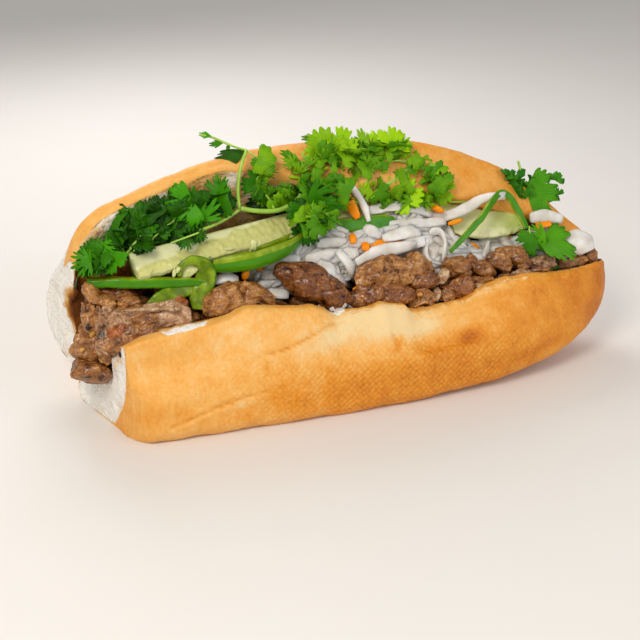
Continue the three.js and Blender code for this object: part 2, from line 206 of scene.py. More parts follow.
def catmull_rom(knots: Points, places: Points) -> Points:
    """Centripetal spline through rows of knots.

    Args:
        knots: an array (rows, knots, axes); each row's curve is closed.
        places: where to read every row, in knots.

    Returns:
        An array (rows, places, axes).
    """
    count = knots.shape[1]
    index = np.floor(places).astype(int)
    t = (places - index)[None, :, None]
    p0, p1, p2, p3 = (knots[:, (index + k) % count] for k in (-1, 0, 1, 2))
    d0, d1, d2 = (
        np.maximum(np.sum((a - b) ** 2, axis=-1, keepdims=True) ** 0.25, 1e-4)
        for a, b in ((p0, p1), (p1, p2), (p2, p3))
    )
    m1 = ((p1 - p0) / d0 - (p2 - p0) / (d0 + d1) + (p2 - p1) / d1) * d1
    m2 = ((p2 - p1) / d1 - (p3 - p1) / (d1 + d2) + (p3 - p2) / d2) * d1
    c2 = -3 * p1 + 3 * p2 - 2 * m1 - m2
    c3 = 2 * p1 - 2 * p2 + m1 + m2
    return p1 + m1 * t + c2 * t**2 + c3 * t**3


# ---- Meshes -------------------------------------------------------------------------------


OUTWARDS = (bpy.ops.mesh.normals_make_consistent, {"inside": False})


def choose(obj: Thing | None = None) -> None:
    """Selects obj alone and makes it active, or selects nothing.

    Args:
        obj: the object, if any.
    """
    bpy.ops.object.select_all(action="DESELECT")
    if obj:
        obj.select_set(True)
        bpy.context.view_layer.objects.active = obj


def primitive(operator: Callable, **settings: object) -> Thing:
    """Adds one of Blender's primitives on its own.

    Args:
        operator: the bpy.ops.mesh operator.
        **settings: its arguments.

    Returns:
        The new object.
    """
    choose()
    operator(**settings)
    return bpy.context.object


def edit(obj: Thing, *steps: tuple[Callable, dict]) -> None:
    """Runs edit-mode steps on everything in an object.

    Args:
        obj: the object.
        *steps: operators, each with its arguments.
    """
    choose(obj)
    bpy.ops.object.mode_set(mode="EDIT")
    bpy.ops.mesh.select_all(action="SELECT")
    for operator, settings in steps:
        operator(**settings)
    bpy.ops.object.mode_set(mode="OBJECT")


def modify(obj: Thing, kind: str, **settings: object) -> None:
    """Adds a modifier and applies it.

    Args:
        obj: the object.
        kind: the modifier's type.
        **settings: its settings.
    """
    choose(obj)
    modifier = obj.modifiers.new(kind.lower(), kind)
    for name, value in settings.items():
        setattr(modifier, name, value)
    bpy.ops.object.modifier_apply(modifier=modifier.name)


def placed(name: str, data: bpy.types.ID) -> Thing:
    """Puts a new object in the scene.

    Args:
        name: what it is called.
        data: what it holds, such as a mesh, a light or a camera.

    Returns:
        The object.
    """
    obj = bpy.data.objects.new(name, data)
    bpy.context.scene.collection.objects.link(obj)
    return obj


def read_points(obj: Thing) -> Points:
    """Reads where an object's vertices are.

    Args:
        obj: the object.

    Returns:
        The vertices, in metres.
    """
    flat = np.zeros(len(obj.data.vertices) * 3)
    obj.data.vertices.foreach_get("co", flat)
    return flat.reshape(-1, 3)


def write_points(obj: Thing, points: Points) -> None:
    """Moves the vertices of obj to points, in metres."""
    obj.data.vertices.foreach_set("co", np.asarray(points, float).ravel())
    obj.data.update()


def read_normals(obj: Thing) -> Points:
    """Reads which way an object's surface faces at its vertices.

    Args:
        obj: the object.

    Returns:
        A direction for each vertex.
    """
    obj.data.update()
    flat = np.zeros(len(obj.data.vertices) * 3, np.float32)
    obj.data.vertex_normals.foreach_get("vector", flat)
    return flat.reshape(-1, 3).astype(float)


def swell(obj: Thing, heights: Value) -> None:
    """Moves the vertices of obj along their normals by heights in mm."""
    moved = to_mm(read_points(obj)) + read_normals(obj) * np.reshape(heights, (-1, 1))
    write_points(obj, to_metres(moved))


def mark(obj: Thing, name: str, values: Points) -> None:
    """Stores one number for each vertex, which materials read by name."""
    attribute = obj.data.attributes.new(name, "FLOAT", "POINT")
    attribute.data.foreach_set("value", np.asarray(values, np.float32))


@dataclass
class Shape:
    """A modelled shape kept as arrays, ready to be copied many times.

    Attributes:
        points: vertices about the shape's own origin.
        corners: the vertex of each face corner, face after face.
        sizes: how many corners each face has.
    """

    points: Points
    corners: np.ndarray
    sizes: np.ndarray

    @classmethod
    def taken_from(cls, obj: Thing) -> "Shape":
        """The shape of a modelled object, which is deleted.

        Args:
            obj: the object.

        Returns:
            Its shape.
        """
        corners = np.zeros(len(obj.data.loops), np.int32)
        obj.data.loops.foreach_get("vertex_index", corners)
        sizes = np.zeros(len(obj.data.polygons), np.int32)
        obj.data.polygons.foreach_get("loop_total", sizes)
        shape = cls(read_points(obj), corners, sizes)
        bpy.data.objects.remove(obj)
        return shape


@dataclass
class Batch:
    """Copies of shapes, gathered in arrays and made into one mesh."""

    points: list[Points] = field(default_factory=list)
    corners: list[np.ndarray] = field(default_factory=list)
    sizes: list[np.ndarray] = field(default_factory=list)
    marks: dict[str, list[Points]] = field(default_factory=dict)
    count: int = 0

    def add(self, shape: Shape, points: Points, **marks: Value) -> None:
        """Adds a copy of a shape.

        Args:
            shape: the shape.
            points: where its vertices go, in mm.
            **marks: numbers for its vertices, by the mark's name.
        """
        self.points.append(points)
        self.corners.append(shape.corners + self.count)
        self.sizes.append(shape.sizes)
        for name, value in marks.items():
            self.marks.setdefault(name, []).append(np.broadcast_to(value, len(points)))
        self.count += len(points)

    def build(self, name: str, outwards: bool = True) -> Thing:
        """Makes the gathered copies into one object.

        Args:
            name: what it is called.
            outwards: whether its faces are turned outwards here.

        Returns:
            The object.
        """
        corners, sizes = np.concatenate(self.corners), np.concatenate(self.sizes)
        mesh = bpy.data.meshes.new(name)
        mesh.vertices.add(self.count)
        mesh.vertices.foreach_set("co", to_metres(np.concatenate(self.points)).ravel())
        mesh.loops.add(len(corners))
        mesh.loops.foreach_set("vertex_index", corners.astype(np.int32))
        mesh.polygons.add(len(sizes))
        starts = np.concatenate([[0], np.cumsum(sizes)[:-1]])
        mesh.polygons.foreach_set("loop_start", starts.astype(np.int32))
        mesh.update(calc_edges=True)
        mesh.validate()
        obj = placed(name, mesh)
        for key, values in self.marks.items():
            mark(obj, key, np.concatenate(values))
        if outwards:
            edit(obj, OUTWARDS)
        return obj


def ball(level: int, radius: float) -> Shape:
    """A ball of even triangles, finer with each level."""
    add = bpy.ops.mesh.primitive_ico_sphere_add
    return Shape.taken_from(primitive(add, subdivisions=level, radius=radius))


def rod(sides: int, levels: int, squareness: float = 0.0) -> Shape:
    """A straight closed rod, one unit long and wide, made by extruding a disc.

    Args:
        sides: how many sides its section has.
        levels: how many rings of vertices it has.
        squareness: 0 for a round section, towards 1 for a square one.

    Returns:
        The rod, with its levels evenly spaced from Z = 0 to Z = 1.
    """
    disc = primitive(bpy.ops.mesh.primitive_circle_add, vertices=sides, radius=0.5, fill_type="NGON")
    step = {"value": (0, 0, 1 / (levels - 1))}
    extrude = (bpy.ops.mesh.extrude_region_move, {"TRANSFORM_OT_translate": step})
    edit(disc, *[extrude] * (levels - 1), (bpy.ops.mesh.select_all, {"action": "SELECT"}), OUTWARDS)
    shape = Shape.taken_from(disc)
    angle = np.arctan2(shape.points[:, 1], shape.points[:, 0])
    bulge = 1 + squareness * 0.3 * np.sin(2 * angle) ** 2
    shape.points[:, :2] *= bulge[:, None]
    return shape


def rod_places(stick: Shape, sides: int, levels: int) -> tuple[np.ndarray, np.ndarray]:
    """The level and the side of each vertex of a rod, counted from 0.

    Args:
        stick: the rod.
        sides: how many sides it has.
        levels: how many levels it has.

    Returns:
        Both numbers for each vertex.
    """
    x, y, z = stick.points.T
    side = np.rint(np.arctan2(y, x) / (2 * math.pi) * sides).astype(int) % sides
    return np.rint(z * (levels - 1)).astype(int), side


def beside_path(path: Points, across: Points) -> tuple[Points, Points]:
    """Two directions square to a path.

    Args:
        path: points along it, one per row.
        across: the direction that the first of them leans to.

    Returns:
        Both directions at every point.
    """
    ahead = unit(np.gradient(path, axis=0))
    out = unit(np.cross(ahead, np.broadcast_to(across, path.shape)))
    return unit(np.cross(out, ahead)), out


def swept(stick: Shape, path: Points, across: Place, width: Value, height: Value) -> Points:
    """Lays a rod along a path.

    Args:
        stick: the rod.
        path: points for its levels, as many as it has levels, in mm.
        across: the direction that its X leans to.
        width: its size across at each level, in mm.
        height: its size the other way at each level, in mm.

    Returns:
        The moved vertices.
    """
    level, _ = rod_places(stick, 1, len(path))
    side, out = beside_path(path, across)
    x = stick.points[:, 0] * np.broadcast_to(width, len(path))[level]
    y = stick.points[:, 1] * np.broadcast_to(height, len(path))[level]
    return path[level] + side[level] * x[:, None] + out[level] * y[:, None]


def solid_copy(node: str, name: str, voxel: float, smoothing: int) -> Thing:
    """A fine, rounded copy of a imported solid.

    Args:
        node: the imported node.
        name: the copy's name.
        voxel: size of the copy's faces in mm.
        smoothing: how many times it is smoothed.

    Returns:
        The copy, standing where the node does.
    """
    obj = placed(name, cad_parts[node].data.copy())
    edit(obj, (bpy.ops.mesh.remove_doubles, {"threshold": 0.01 * MM}))
    modify(obj, "REMESH", mode="VOXEL", voxel_size=voxel * MM)
    modify(obj, "SMOOTH", factor=0.5, iterations=smoothing)
    return obj


def dress(obj: Thing, looks: list[Material], slot: str | None, *nodes: str) -> None:
    """Finishes a piece: its materials, its shading, its body and the solids that it stands for.

    Args:
        obj: the piece.
        looks: its materials.
        slot: the record's name for its stuff, where it has one; not used.
        *nodes: the solids.
    """
    obj.data.materials.clear()
    for look in looks:
        obj.data.materials.append(look)
    obj.data.polygons.foreach_set("use_smooth", [True] * len(obj.data.polygons))
    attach(obj, BODY)
    if nodes:
        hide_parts(*nodes)
    LOG.info("%s: %d faces, for %s", obj.name, len(obj.data.polygons), ", ".join(nodes) or "looks")


# ---- Materials ----------------------------------------------------------------------------


# The two colours that a Mix node takes and its result, by number.
MIX_A, MIX_B = 6, 7
MIX_COLOURS = {"out": 2, "data_type": "RGBA"}


def linear(colour: str) -> tuple[float, float, float, float]:
    """Turns a colour into what the shaders work with.

    Args:
        colour: an sRGB hex colour, such as F3BC72.

    Returns:
        The same colour as linear RGBA.
    """
    channels = [int(colour[i : i + 2], 16) / 255 for i in (0, 2, 4)]
    turned = [c / 12.92 if c <= 0.04045 else ((c + 0.055) / 1.055) ** 2.4 for c in channels]
    return (*turned, 1.0)


class Recipe:
    """A new material and the nodes that make its look.

    Attributes:
        material: the material.
        place: its Object coordinates.
    """

    def __init__(self, name: str) -> None:
        """Starts a material.

        Args:
            name: what it is called.
        """
        self.material = bpy.data.materials.new(name)
        self.material.use_nodes = True
        self.material.node_tree.nodes.clear()
        self.place = self.put("TexCoord", out="Object")

    def put(self, kind: str, inputs: dict | tuple = (), out: int | str = 0,
            stops: Stops = (), **settings: object) -> Socket | None:
        """Adds a node with its settings and links.

        Args:
            kind: the node's type.
            inputs: a value, an sRGB colour or a socket for each input, by name or in order.
            out: the output wanted, by name or number.
            stops: the places and the sRGB colours of a colour ramp.
            **settings: the node's own settings.

        Returns:
            The output, or nothing from a node that has none.
        """
        tree = self.material.node_tree
        new = tree.nodes.new("ShaderNode" + kind)
        for name, value in settings.items():
            setattr(new, name, value)
        for place, colour in stops:
            ends = new.color_ramp.elements
            stop = ends[0] if place == 0 else ends[-1] if place == 1 else ends.new(place)
            stop.color = linear(colour)
        for key, value in inputs.items() if isinstance(inputs, dict) else enumerate(inputs):
            if isinstance(value, Socket):
                tree.links.new(value, new.inputs[key])
            else:
                new.inputs[key].default_value = linear(value) if isinstance(value, str) else value
        return new.outputs[out] if new.outputs else None

    def pattern(self, kind: str, size_mm: float, place: Socket | None = None, **inputs: float) -> Socket:
        """Adds a texture.

        Args:
            kind: the node's type.
            size_mm: how wide its features are.
            place: its coordinates, where they aren't the material's.
            **inputs: its other inputs.

        Returns:
            Its first output.
        """
        place = self.place if place is None else place
        return self.put(kind, {"Vector": place, "Scale": 1 / (size_mm * MM), **inputs})

    def marks(self, *names: str) -> list[Socket]:
        """The meshes' marks of these names."""
        return [self.put("Attribute", out="Fac", attribute_name=name) for name in names]

    def total(self, start: Socket | float, *products: tuple) -> Socket:
        """Adds up products.

        Args:
            start: what they are added to.
            *products: pairs of factors, each a socket or a number.

        Returns:
            The sum.
        """
        for first, second in products:
            start = self.put("Math", (first, second, start), operation="MULTIPLY_ADD")
        return start


@dataclass(frozen=True)
class Surface:
    """How a stuff takes the light.

    Attributes:
        bump: strength of its fine relief.
        bump_mm: height of that relief.
        depth: share of the light that passes into it.
        glow: how far red, green and blue pass, against depth_mm.
        depth_mm: how far light passes.
        shine: strength of its reflections.
        coat: strength of a wet film over it.
        coat_roughness: how rough that film is.
    """

    bump: float
    bump_mm: float
    depth: float
    glow: Place
    depth_mm: float
    shine: float = 0.5
    coat: float = 0.0
    coat_roughness: float = 0.18

    def finish(self, recipe: Recipe, colour: Socket, height: Socket, roughness: Socket | float) -> Material:
        """Ends a material with its shader.

        Args:
            recipe: the material.
            colour: its colour.
            height: its fine relief.
            roughness: how rough it is.

        Returns:
            The material.
        """
        relief = {"Height": height, "Strength": self.bump, "Distance": self.bump_mm * MM}
        shader = recipe.put("BsdfPrincipled", {
            "Base Color": colour,
            "Roughness": roughness,
            "Normal": recipe.put("Bump", relief),
            "Specular IOR Level": self.shine,
            "Subsurface Weight": self.depth,
            "Subsurface Radius": self.glow,
            "Subsurface Scale": self.depth_mm * MM,
            "Coat Weight": self.coat,
            "Coat Roughness": self.coat_roughness,
        })
        recipe.put("OutputMaterial", {"Surface": shader})
        return recipe.material


@dataclass(frozen=True)
class BreadFinish:
    """Baked wheat bread: a thin satin crust, cream to deep gold, over open matt crumb.

    The crust's fine net of dimples is the print of the baking tray's mesh. The eye gets a
    warm, slightly mottled gold that is palest where the crust tore and darkest low down and
    at the closed end, and chalky white crumb that sauce has browned beside the filling.
    Painted shade darkens the crust in the creases of the front and tans the crumb inside the
    upper half, and a thin pale line under the low crease is a painted highlight.
    """

    crust_tones: Stops = ((0, "F1D299"), (0.25, "F2B45C"), (0.5, "E69528"), (0.75, "CC7308"), (1, "A4540A"))
    # The pale tan stops paint shade on the crumb inside the upper half; the browns are sauce.
    stain_tones: Stops = ((0, "F6E4CA"), (0.4, "DAA862"), (0.7, "9E5A0C"), (1, "623204"))
    crumb: str = "F7F3EC"
    crumb_shade: str = "EDE5D8"
    mottle_mm: float = 9.0
    speck_mm: float = 1.3
    stroke_mm: float = 1.5
    stroke_stretch: Place = (1.0, 1.0, 0.22)
    dimple_mm: float = 1.9
    net_turn: Place = (0.2, 0.7, 0.1)
    pore_mm: float = 1.7
    skin_mm: float = 0.8
    hollow_mm: float = 2.2
    chalky: float = 0.95
    satin: float = 0.5
    surface: Surface = Surface(0.7, 1.3, 0.08, (1.0, 0.5, 0.25), 2, 0.35)

    def build(self) -> Material:
        """Makes the material, which reads the marks of crust, baking, net and staining; the baking
        and the staining marks carry painted shade as well.

        Returns:
            The material.
        """
        recipe = Recipe("baked_wheat_bread")
        put, pattern, total = recipe.put, recipe.pattern, recipe.total
        crust, bake, net, stain = recipe.marks("crust", "bake", "net", "stain")
        mottle = pattern("TexNoise", self.mottle_mm, Detail=5.0)
        speck = pattern("TexNoise", self.speck_mm, Detail=3.0)
        tall = put("Mapping", {"Vector": recipe.place, "Scale": self.stroke_stretch})
        strokes = pattern("TexNoise", self.stroke_mm, tall, Detail=2.0)
        turned = put("Mapping", {"Vector": recipe.place, "Rotation": self.net_turn})
        mesh = pattern("TexVoronoi", self.dimple_mm, turned, Randomness=0.4)
        dimples = put("Math", (mesh, net), operation="MULTIPLY")
        # The baking mark holds the crust's own baked tone, and also painted shade in the creases of the front
        # and a painted highlight under the low crease.
        uneven = total(bake, (mottle, 0.45), (speck, 0.27), (strokes, 0.22), (dimples, 0.3), (net, -0.135),
                       (1.0, -0.515))
        baked = put("ValToRGB", (uneven,), stops=self.crust_tones)
        hollow = put("MapRange", (pattern("TexVoronoi", self.pore_mm, Randomness=1.0), 0.02, 0.4))
        crumb = put("Mix", {0: hollow, MIX_A: self.crumb_shade, MIX_B: self.crumb}, **MIX_COLOURS)
        # Sauce browns the crumb low down; the light tan all over the inside is painted shade.
        soak = put("MapRange", (total(stain, (mottle, 0.8)), 0.44, 1.12))
        soaked = put("ValToRGB", (soak,), stops=self.stain_tones)
        wet = put("MapRange", (soak, 0.0, 0.22))
        crumb = put("Mix", {0: wet, MIX_A: crumb, MIX_B: soaked}, **MIX_COLOURS)
        share = put("MapRange", (total(crust, (speck, 0.5)), 0.62, 0.86))
        colour = put("Mix", {0: share, MIX_A: crumb, MIX_B: baked}, **MIX_COLOURS)
        fine = total(0.0, (dimples, 0.75), (pattern("TexNoise", self.skin_mm, Detail=4.0), 0.25))
        open_crumb = total(-1.0, (hollow, 0.3), (pattern("TexNoise", self.hollow_mm, Detail=6.0), 2.0))
        height = put("Mix", {0: share, 2: open_crumb, 3: fine}, data_type="FLOAT")
        roughness = put("MapRange", (share, 0.0, 1.0, self.chalky, self.satin))
        return self.surface.finish(recipe, colour, height, roughness)


class PorkTone(Enum):
    """Colours of grilled pork: in its creases, with painted shade, its body, its high spots and its fat."""

    TAN = ("4C2A10", "935C26", "BA8244", "DEB27C")
    BROWN = ("301806", "824E22", "A87038", "D0A068")
    DARK = ("200E04", "68360E", "8C5422", "BE8A50")
    RED = ("220C04", "703A14", "985E2A", "C49058")
    GREY = ("402610", "986A42", "BE9470", "EACCAC")
    # The bed's tones are all dark: painted shade between and under the pieces that show.
    BED = ("120803", "46240C", "643A16", "8A5A2C")
    FAT = ("8A5C38", "A98058", "C8A882", "E0CCB0")
    GLAZE = ("4E1C04", "94460E", "B4682A", "D49050")

    @property
    def number(self) -> int:
        """Its place among the tones."""
        return list(PorkTone).index(self)


@dataclass(frozen=True)
class PorkFinish:
    """Grilled sliced pork in its glaze: moist, fibrous, browned on what stands proud.

    The eye gets brown meat streaked along the grain, dark in its creases and paler on its
    edges, with small wet highlights. The darkness in its creases and pores is painted shade.
    """

    tone: PorkTone
    places: Spot = (0.32, 0.66)
    fibre_mm: float = 1.4
    fibre_turn: Place = (0.3, 0.5, 0.2)
    fibre_stretch: Place = (0.35, 1.0, 1.0)
    patch_mm: float = 5.0
    grain_mm: float = 0.8
    surface: Surface = Surface(0.7, 0.8, 0.05, (1.0, 0.35, 0.15), 1.5, 0.25, 0.5)

    def build(self) -> Material:
        """Makes the material, which reads a mark of dents: 0 on high spots and 1 in creases and
        pores, where it paints shade.

        Returns:
            The material.
        """
        recipe = Recipe("grilled_pork_" + self.tone.name.lower())
        (dent,) = recipe.marks("dent")
        lie = {"Vector": recipe.place, "Rotation": self.fibre_turn, "Scale": self.fibre_stretch}
        laid_fibres = recipe.put("Mapping", lie)
        fibres = recipe.pattern("TexNoise", self.fibre_mm, laid_fibres, Detail=4.0, Distortion=0.6)
        patches = recipe.pattern("TexNoise", self.patch_mm, Detail=4.0)
        fine = recipe.pattern("TexNoise", self.grain_mm, Detail=4.0)
        # Cracks and pores darken the colour as painted shade.
        grain = recipe.total(0.0, (patches, 0.9), (fibres, 0.8), (fine, 0.6), (dent, -0.6))
        tone = recipe.put("MapRange", (grain, 0.82, 1.5))
        stops = tuple(zip((0, *self.places, 1), self.tone.value))
        colour = recipe.put("ValToRGB", (tone,), stops=stops)
        height = recipe.total(patches, (fibres, 0.8), (fine, 0.7))
        wet = recipe.put("MapRange", (patches, 0.35, 0.65, 0.25, 0.6))
        return self.surface.finish(recipe, colour, height, wet)


@dataclass(frozen=True)
class CucumberFinish:
    """A wet lengthwise cut of cucumber: pale flesh, seedy yellow core, green towards its skin.

    The mark core runs from 0 at the skin to 1 at the seeds.
    """

    tones: Stops = (
        (0, "4E8416"), (0.05, "4E8416"), (0.11, "B2C256"), (0.4, "E4E4B0"), (0.7, "E4E4B0"), (1, "D0CE80"),
    )
    cloud_mm: float = 3.5
    grain_mm: float = 1.2
    roughness: float = 0.34
    surface: Surface = Surface(0.35, 0.4, 0.35, (1.0, 0.9, 0.35), 3)

    def build(self) -> Material:
        """Makes the material.

        Returns:
            The material.
        """
        recipe = Recipe("cut_cucumber")
        (core,) = recipe.marks("core")
        cloud = recipe.pattern("TexNoise", self.cloud_mm, Detail=3.0)
        depth = recipe.total(core, (cloud, 0.22), (1.0, -0.11))
        colour = recipe.put("ValToRGB", (depth,), stops=self.tones)
        grain = recipe.pattern("TexNoise", self.grain_mm, Detail=3.0)
        return self.surface.finish(recipe, colour, grain, self.roughness)


@dataclass(frozen=True)
class ChilliFinish:
    """Sliced green chilli: waxy skin outside, pale wet flesh where it is cut.

    The mark cut runs from 0 on the skin to 1 on the cut flesh.
    """

    name: str = "sliced_green_chilli"
    skin: str = "256E02"
    skin_light: str = "5A9E08"
    flesh: str = "7C9408"
    pith: str = "A0B430"
    roughness: float = 0.2
    mottle: float = 0.4
    cloud_mm: float = 9.0
    blotch_mm: float = 4.5
    ripple_mm: float = 2.0
    surface: Surface = Surface(0.3, 0.6, 0.2, (0.6, 1.0, 0.2), 2, 0.25)

    def build(self) -> Material:
        """Makes the material.

        Returns:
            The material.
        """
        recipe = Recipe(self.name)
        put = recipe.put
        (cut,) = recipe.marks("cut")
        cloud = recipe.pattern("TexNoise", self.cloud_mm, Detail=2.0)
        skin = put("Mix", {0: cloud, MIX_A: self.skin, MIX_B: self.skin_light}, **MIX_COLOURS)
        blotch = recipe.pattern("TexNoise", self.blotch_mm, Detail=3.0)
        pale = put("MapRange", (blotch, 0.42, 0.66))
        flesh = put("Mix", {0: pale, MIX_A: self.flesh, MIX_B: self.pith}, **MIX_COLOURS)
        share = recipe.total(cut, (blotch, self.mottle), (-0.5, self.mottle))
        share = put("MapRange", (share, 0.25, 0.8))
        colour = put("Mix", {0: share, MIX_A: skin, MIX_B: flesh}, **MIX_COLOURS)
        ripple = recipe.pattern("TexNoise", self.ripple_mm, Detail=2.0)
        return self.surface.finish(recipe, colour, ripple, self.roughness)


@dataclass(frozen=True)
class PickleFinish:
    """Pickled root cut in shreds: wet, dense and slightly translucent, with a faint grain."""

    name: str
    body: str
    shade: str
    surface: Surface
    cloud_mm: float = 6.0
    grain_mm: float = 1.2
    roughness: float = 0.26

    def build(self) -> Material:
        """Makes the material.

        Returns:
            The material.
        """
        recipe = Recipe(self.name)
        cloud = recipe.pattern("TexNoise", self.cloud_mm, Detail=3.0)
        share = recipe.put("MapRange", (cloud, 0.35, 0.65))
        colour = recipe.put("Mix", {0: share, MIX_A: self.shade, MIX_B: self.body}, **MIX_COLOURS)
        grain = recipe.pattern("TexNoise", self.grain_mm, Detail=3.0)
        return self.surface.finish(recipe, colour, grain, self.roughness)


class LeafTone(Enum):
    """Colours of coriander leaves: blade, lighter patches, veins."""

    # DARK, BRIGHT and DEEP are one leaf colour lit and shaded: DARK paints shade on the left leaves down in
    # the fold, BRIGHT paints light on the middle leaves on top, and DEEP lies between.
    DARK = ("042801", "409202", "74B41E")
    BRIGHT = ("448402", "A2D204", "C4E25A")
    DEEP = ("1C6606", "62B012", "92C848")


@dataclass(frozen=True)
class LeafFinish:
    """Fresh coriander leaf: soft satin green with paler veins that fan out from the stalk.

    The marks angle and reach give a point's direction and distance from the stalk, and the
    third mark how light its leaf is, as painted light and shade, leaf by leaf.
    """

    tone: LeafTone
    cloud_mm: float = 5.0
    veins: float = 9.0
    roughness: float = 0.42
    surface: Surface = Surface(0.3, 0.3, 0.15, (0.4, 1.0, 0.1), 1, 0.12)

    def build(self) -> Material:
        """Makes the material.

        Returns:
            The material.
        """
        recipe = Recipe("coriander_leaf_" + self.tone.name.lower())
        put, total = recipe.put, recipe.total
        blade, light, vein = self.tone.value
        angle, reach, tint = recipe.marks("angle", "reach", "tint")
        cloud = recipe.pattern("TexNoise", self.cloud_mm, Detail=3.0)
        # Each leaf's painted light and shade, with a random cloud of tone.
        lighter = total(-0.47, (tint, 1.25), (cloud, 0.7))
        colour = put("Mix", {0: lighter, MIX_A: blade, MIX_B: light}, **MIX_COLOURS)
        fan = put("Math", (total(0.0, (angle, self.veins)), 0.5), operation="PINGPONG")
        line = put("MapRange", (fan, 0.0, 0.12, 0.4, 0.0))
        veins = put("Math", (line, total(1.0, (reach, -0.6))), operation="MULTIPLY")
        colour = put("Mix", {0: veins, MIX_A: colour, MIX_B: vein}, **MIX_COLOURS)
        return self.surface.finish(recipe, colour, fan, self.roughness)


@dataclass(frozen=True)
class PlainFinish:
    """A small thing of one stuff, such as a stem, a seed or a crumb, with a light mottle."""

    name: str
    first: str
    second: str
    roughness: float
    mottle_mm: float = 2.0
    depth: float = 0.0

    def build(self) -> Material:
        """Makes the material.

        Returns:
            The material.
        """
        recipe = Recipe(self.name)
        cloud = recipe.pattern("TexNoise", self.mottle_mm, Detail=4.0)
        colour = recipe.put("Mix", {0: cloud, MIX_A: self.first, MIX_B: self.second}, **MIX_COLOURS)
        surface = Surface(0.3, 0.3, self.depth, (1.0, 0.8, 0.4), 1.5)
        return surface.finish(recipe, colour, cloud, self.roughness)


# ---- Where things lie ---------------------------------------------------------------------


@dataclass(frozen=True)
class Viewpoint:
    """The camera's place and lens, in the roll's frame, and what it sees where.

    Small things that show are given as points of its view, in pixels from its left and its
    top, and as a depth or a solid that they lie on.
    """

    at: Place = (-72.2, -440.9, 260.0)
    yaw: float = math.radians(18)
    pitch: float = math.radians(25)
    focal_px: float = 1270.0
    centre_px: float = 320.0
    sensor_mm: float = 36.0

    @property
    def right(self) -> Points:
        """The direction to the view's right."""
        return np.array([math.cos(self.yaw), -math.sin(self.yaw), 0.0])

    @property
    def ahead(self) -> Points:
        """The direction that the camera looks in."""
        level = np.array([math.sin(self.yaw), math.cos(self.yaw), 0.0]) * math.cos(self.pitch)
        return level - np.array([0.0, 0.0, math.sin(self.pitch)])

    @property
    def up(self) -> Points:
        """The direction to the view's top."""
        return np.cross(self.right, self.ahead)

    def turned(self, degrees: float) -> Points:
        """The direction turned up from the view's right by an angle."""
        angle = math.radians(degrees)
        return math.cos(angle) * self.right + math.sin(angle) * self.up

    def ray(self, px: float, py: float) -> Points:
        """The direction of a line of sight."""
        across, down = (px - self.centre_px) / self.focal_px, (py - self.centre_px) / self.focal_px
        return unit(self.ahead + self.right * across - self.up * down)

    def at_depth(self, px: float, py: float, depth: float) -> Points:
        """Where a line of sight reaches a depth."""
        ray = self.ray(px, py)
        return np.array(self.at) + ray * (depth - self.at[1]) / ray[1]

    def seen(self, points: Points) -> Points:
        """Where points show in the view.

        Args:
            points: the points, in mm.

        Returns:
            How far each is from the view's left and from its top, in pixels.
        """
        gap = points - np.array(self.at)
        scale = self.focal_px / (gap @ self.ahead)
        return self.centre_px + np.stack([gap @ self.right * scale, -(gap @ self.up) * scale], -1)

    def landing(self, px: float, py: float, ground: "Ground") -> tuple[Points, Points] | None:
        """Where a line of sight lands.

        Args:
            px: how far it is from the view's left.
            py: how far it is from the view's top.
            ground: what it lands on.

        Returns:
            The place in mm and the ground's direction there, or nothing where it misses.
        """
        spot, normal, _, _ = ground.tree.ray_cast(Vector(self.at), Vector(self.ray(px, py)))
        return None if spot is None else (np.array(spot), np.array(normal))

    def build(self) -> None:
        """Sets up the camera itself."""
        data = bpy.data.cameras.new("camera")
        data.sensor_width = self.sensor_mm
        data.lens = self.focal_px / (2 * self.centre_px) * self.sensor_mm
        camera = placed("camera", data)
        camera.location = to_metres(self.at)
        camera.rotation_euler = Euler((math.pi / 2 - self.pitch, 0, -self.yaw))
        bpy.context.scene.camera = camera


VIEW = Viewpoint()


class Ground:
    """Meshes that things lie on, in the roll's frame.

    Attributes:
        corners: the corners of each triangle, in mm.
        tree: the triangles, ready for searches.
    """

    def __init__(self, *objects: Thing) -> None:
        """Reads the triangles of objects.

        Args:
            *objects: the objects.
        """
        points, faces, count = [], [], 0
        for obj in objects:
            obj.data.calc_loop_triangles()
            corners = np.zeros(len(obj.data.loop_triangles) * 3, np.int32)
            obj.data.loop_triangles.foreach_get("vertices", corners)
            faces.append(corners.reshape(-1, 3) + count)
            points.append(to_mm(read_points(obj)))
            count += len(points[-1])
        places, triangles = np.concatenate(points), np.concatenate(faces)
        self.corners = places[triangles]
        self.tree = BVHTree.FromPolygons(places.tolist(), triangles.tolist())

    @property
    def crosses(self) -> Points:
        """Each triangle's outward direction, as long as twice its area."""
        first, second, third = self.corners.transpose(1, 0, 2)
        return np.cross(second - first, third - first)

    def scattered(self, count: int, rng: np.random.Generator, keep: Callable,
                  spare: int = 6) -> tuple[Points, Points]:
        """Random places on the surface.

        Args:
            count: how many.
            rng: the random numbers.
            keep: a test on places and directions that says which may be used.
            spare: how many places are tried for each one wanted.

        Returns:
            The places in mm, and the surface's directions there.
        """
        crosses = self.crosses
        area = np.linalg.norm(crosses, axis=-1)
        pick = rng.choice(len(area), count * spare, p=area / area.sum())
        a, b = rng.random((2, count * spare, 1))
        fold = a + b > 1
        a, b = np.where(fold, 1 - a, a), np.where(fold, 1 - b, b)
        first, second, third = self.corners[pick].transpose(1, 0, 2)
        places, normals = first * (1 - a - b) + second * a + third * b, unit(crosses[pick])
        good = keep(places, normals)
        return places[good][:count], normals[good][:count]

    def nearest(self, point: Points) -> tuple[Points, Points]:
        """The surface's nearest place to point, and its direction there."""
        spot, normal, _, _ = self.tree.find_nearest(Vector(point))
        return np.array(spot), np.array(normal)


def laid(direction: Points, normal: Points) -> Points:
    """A direction laid flat on a surface."""
    return unit(np.cross(normal, np.cross(direction, normal)))

# ---- The roll -----------------------------------------------------------------------------


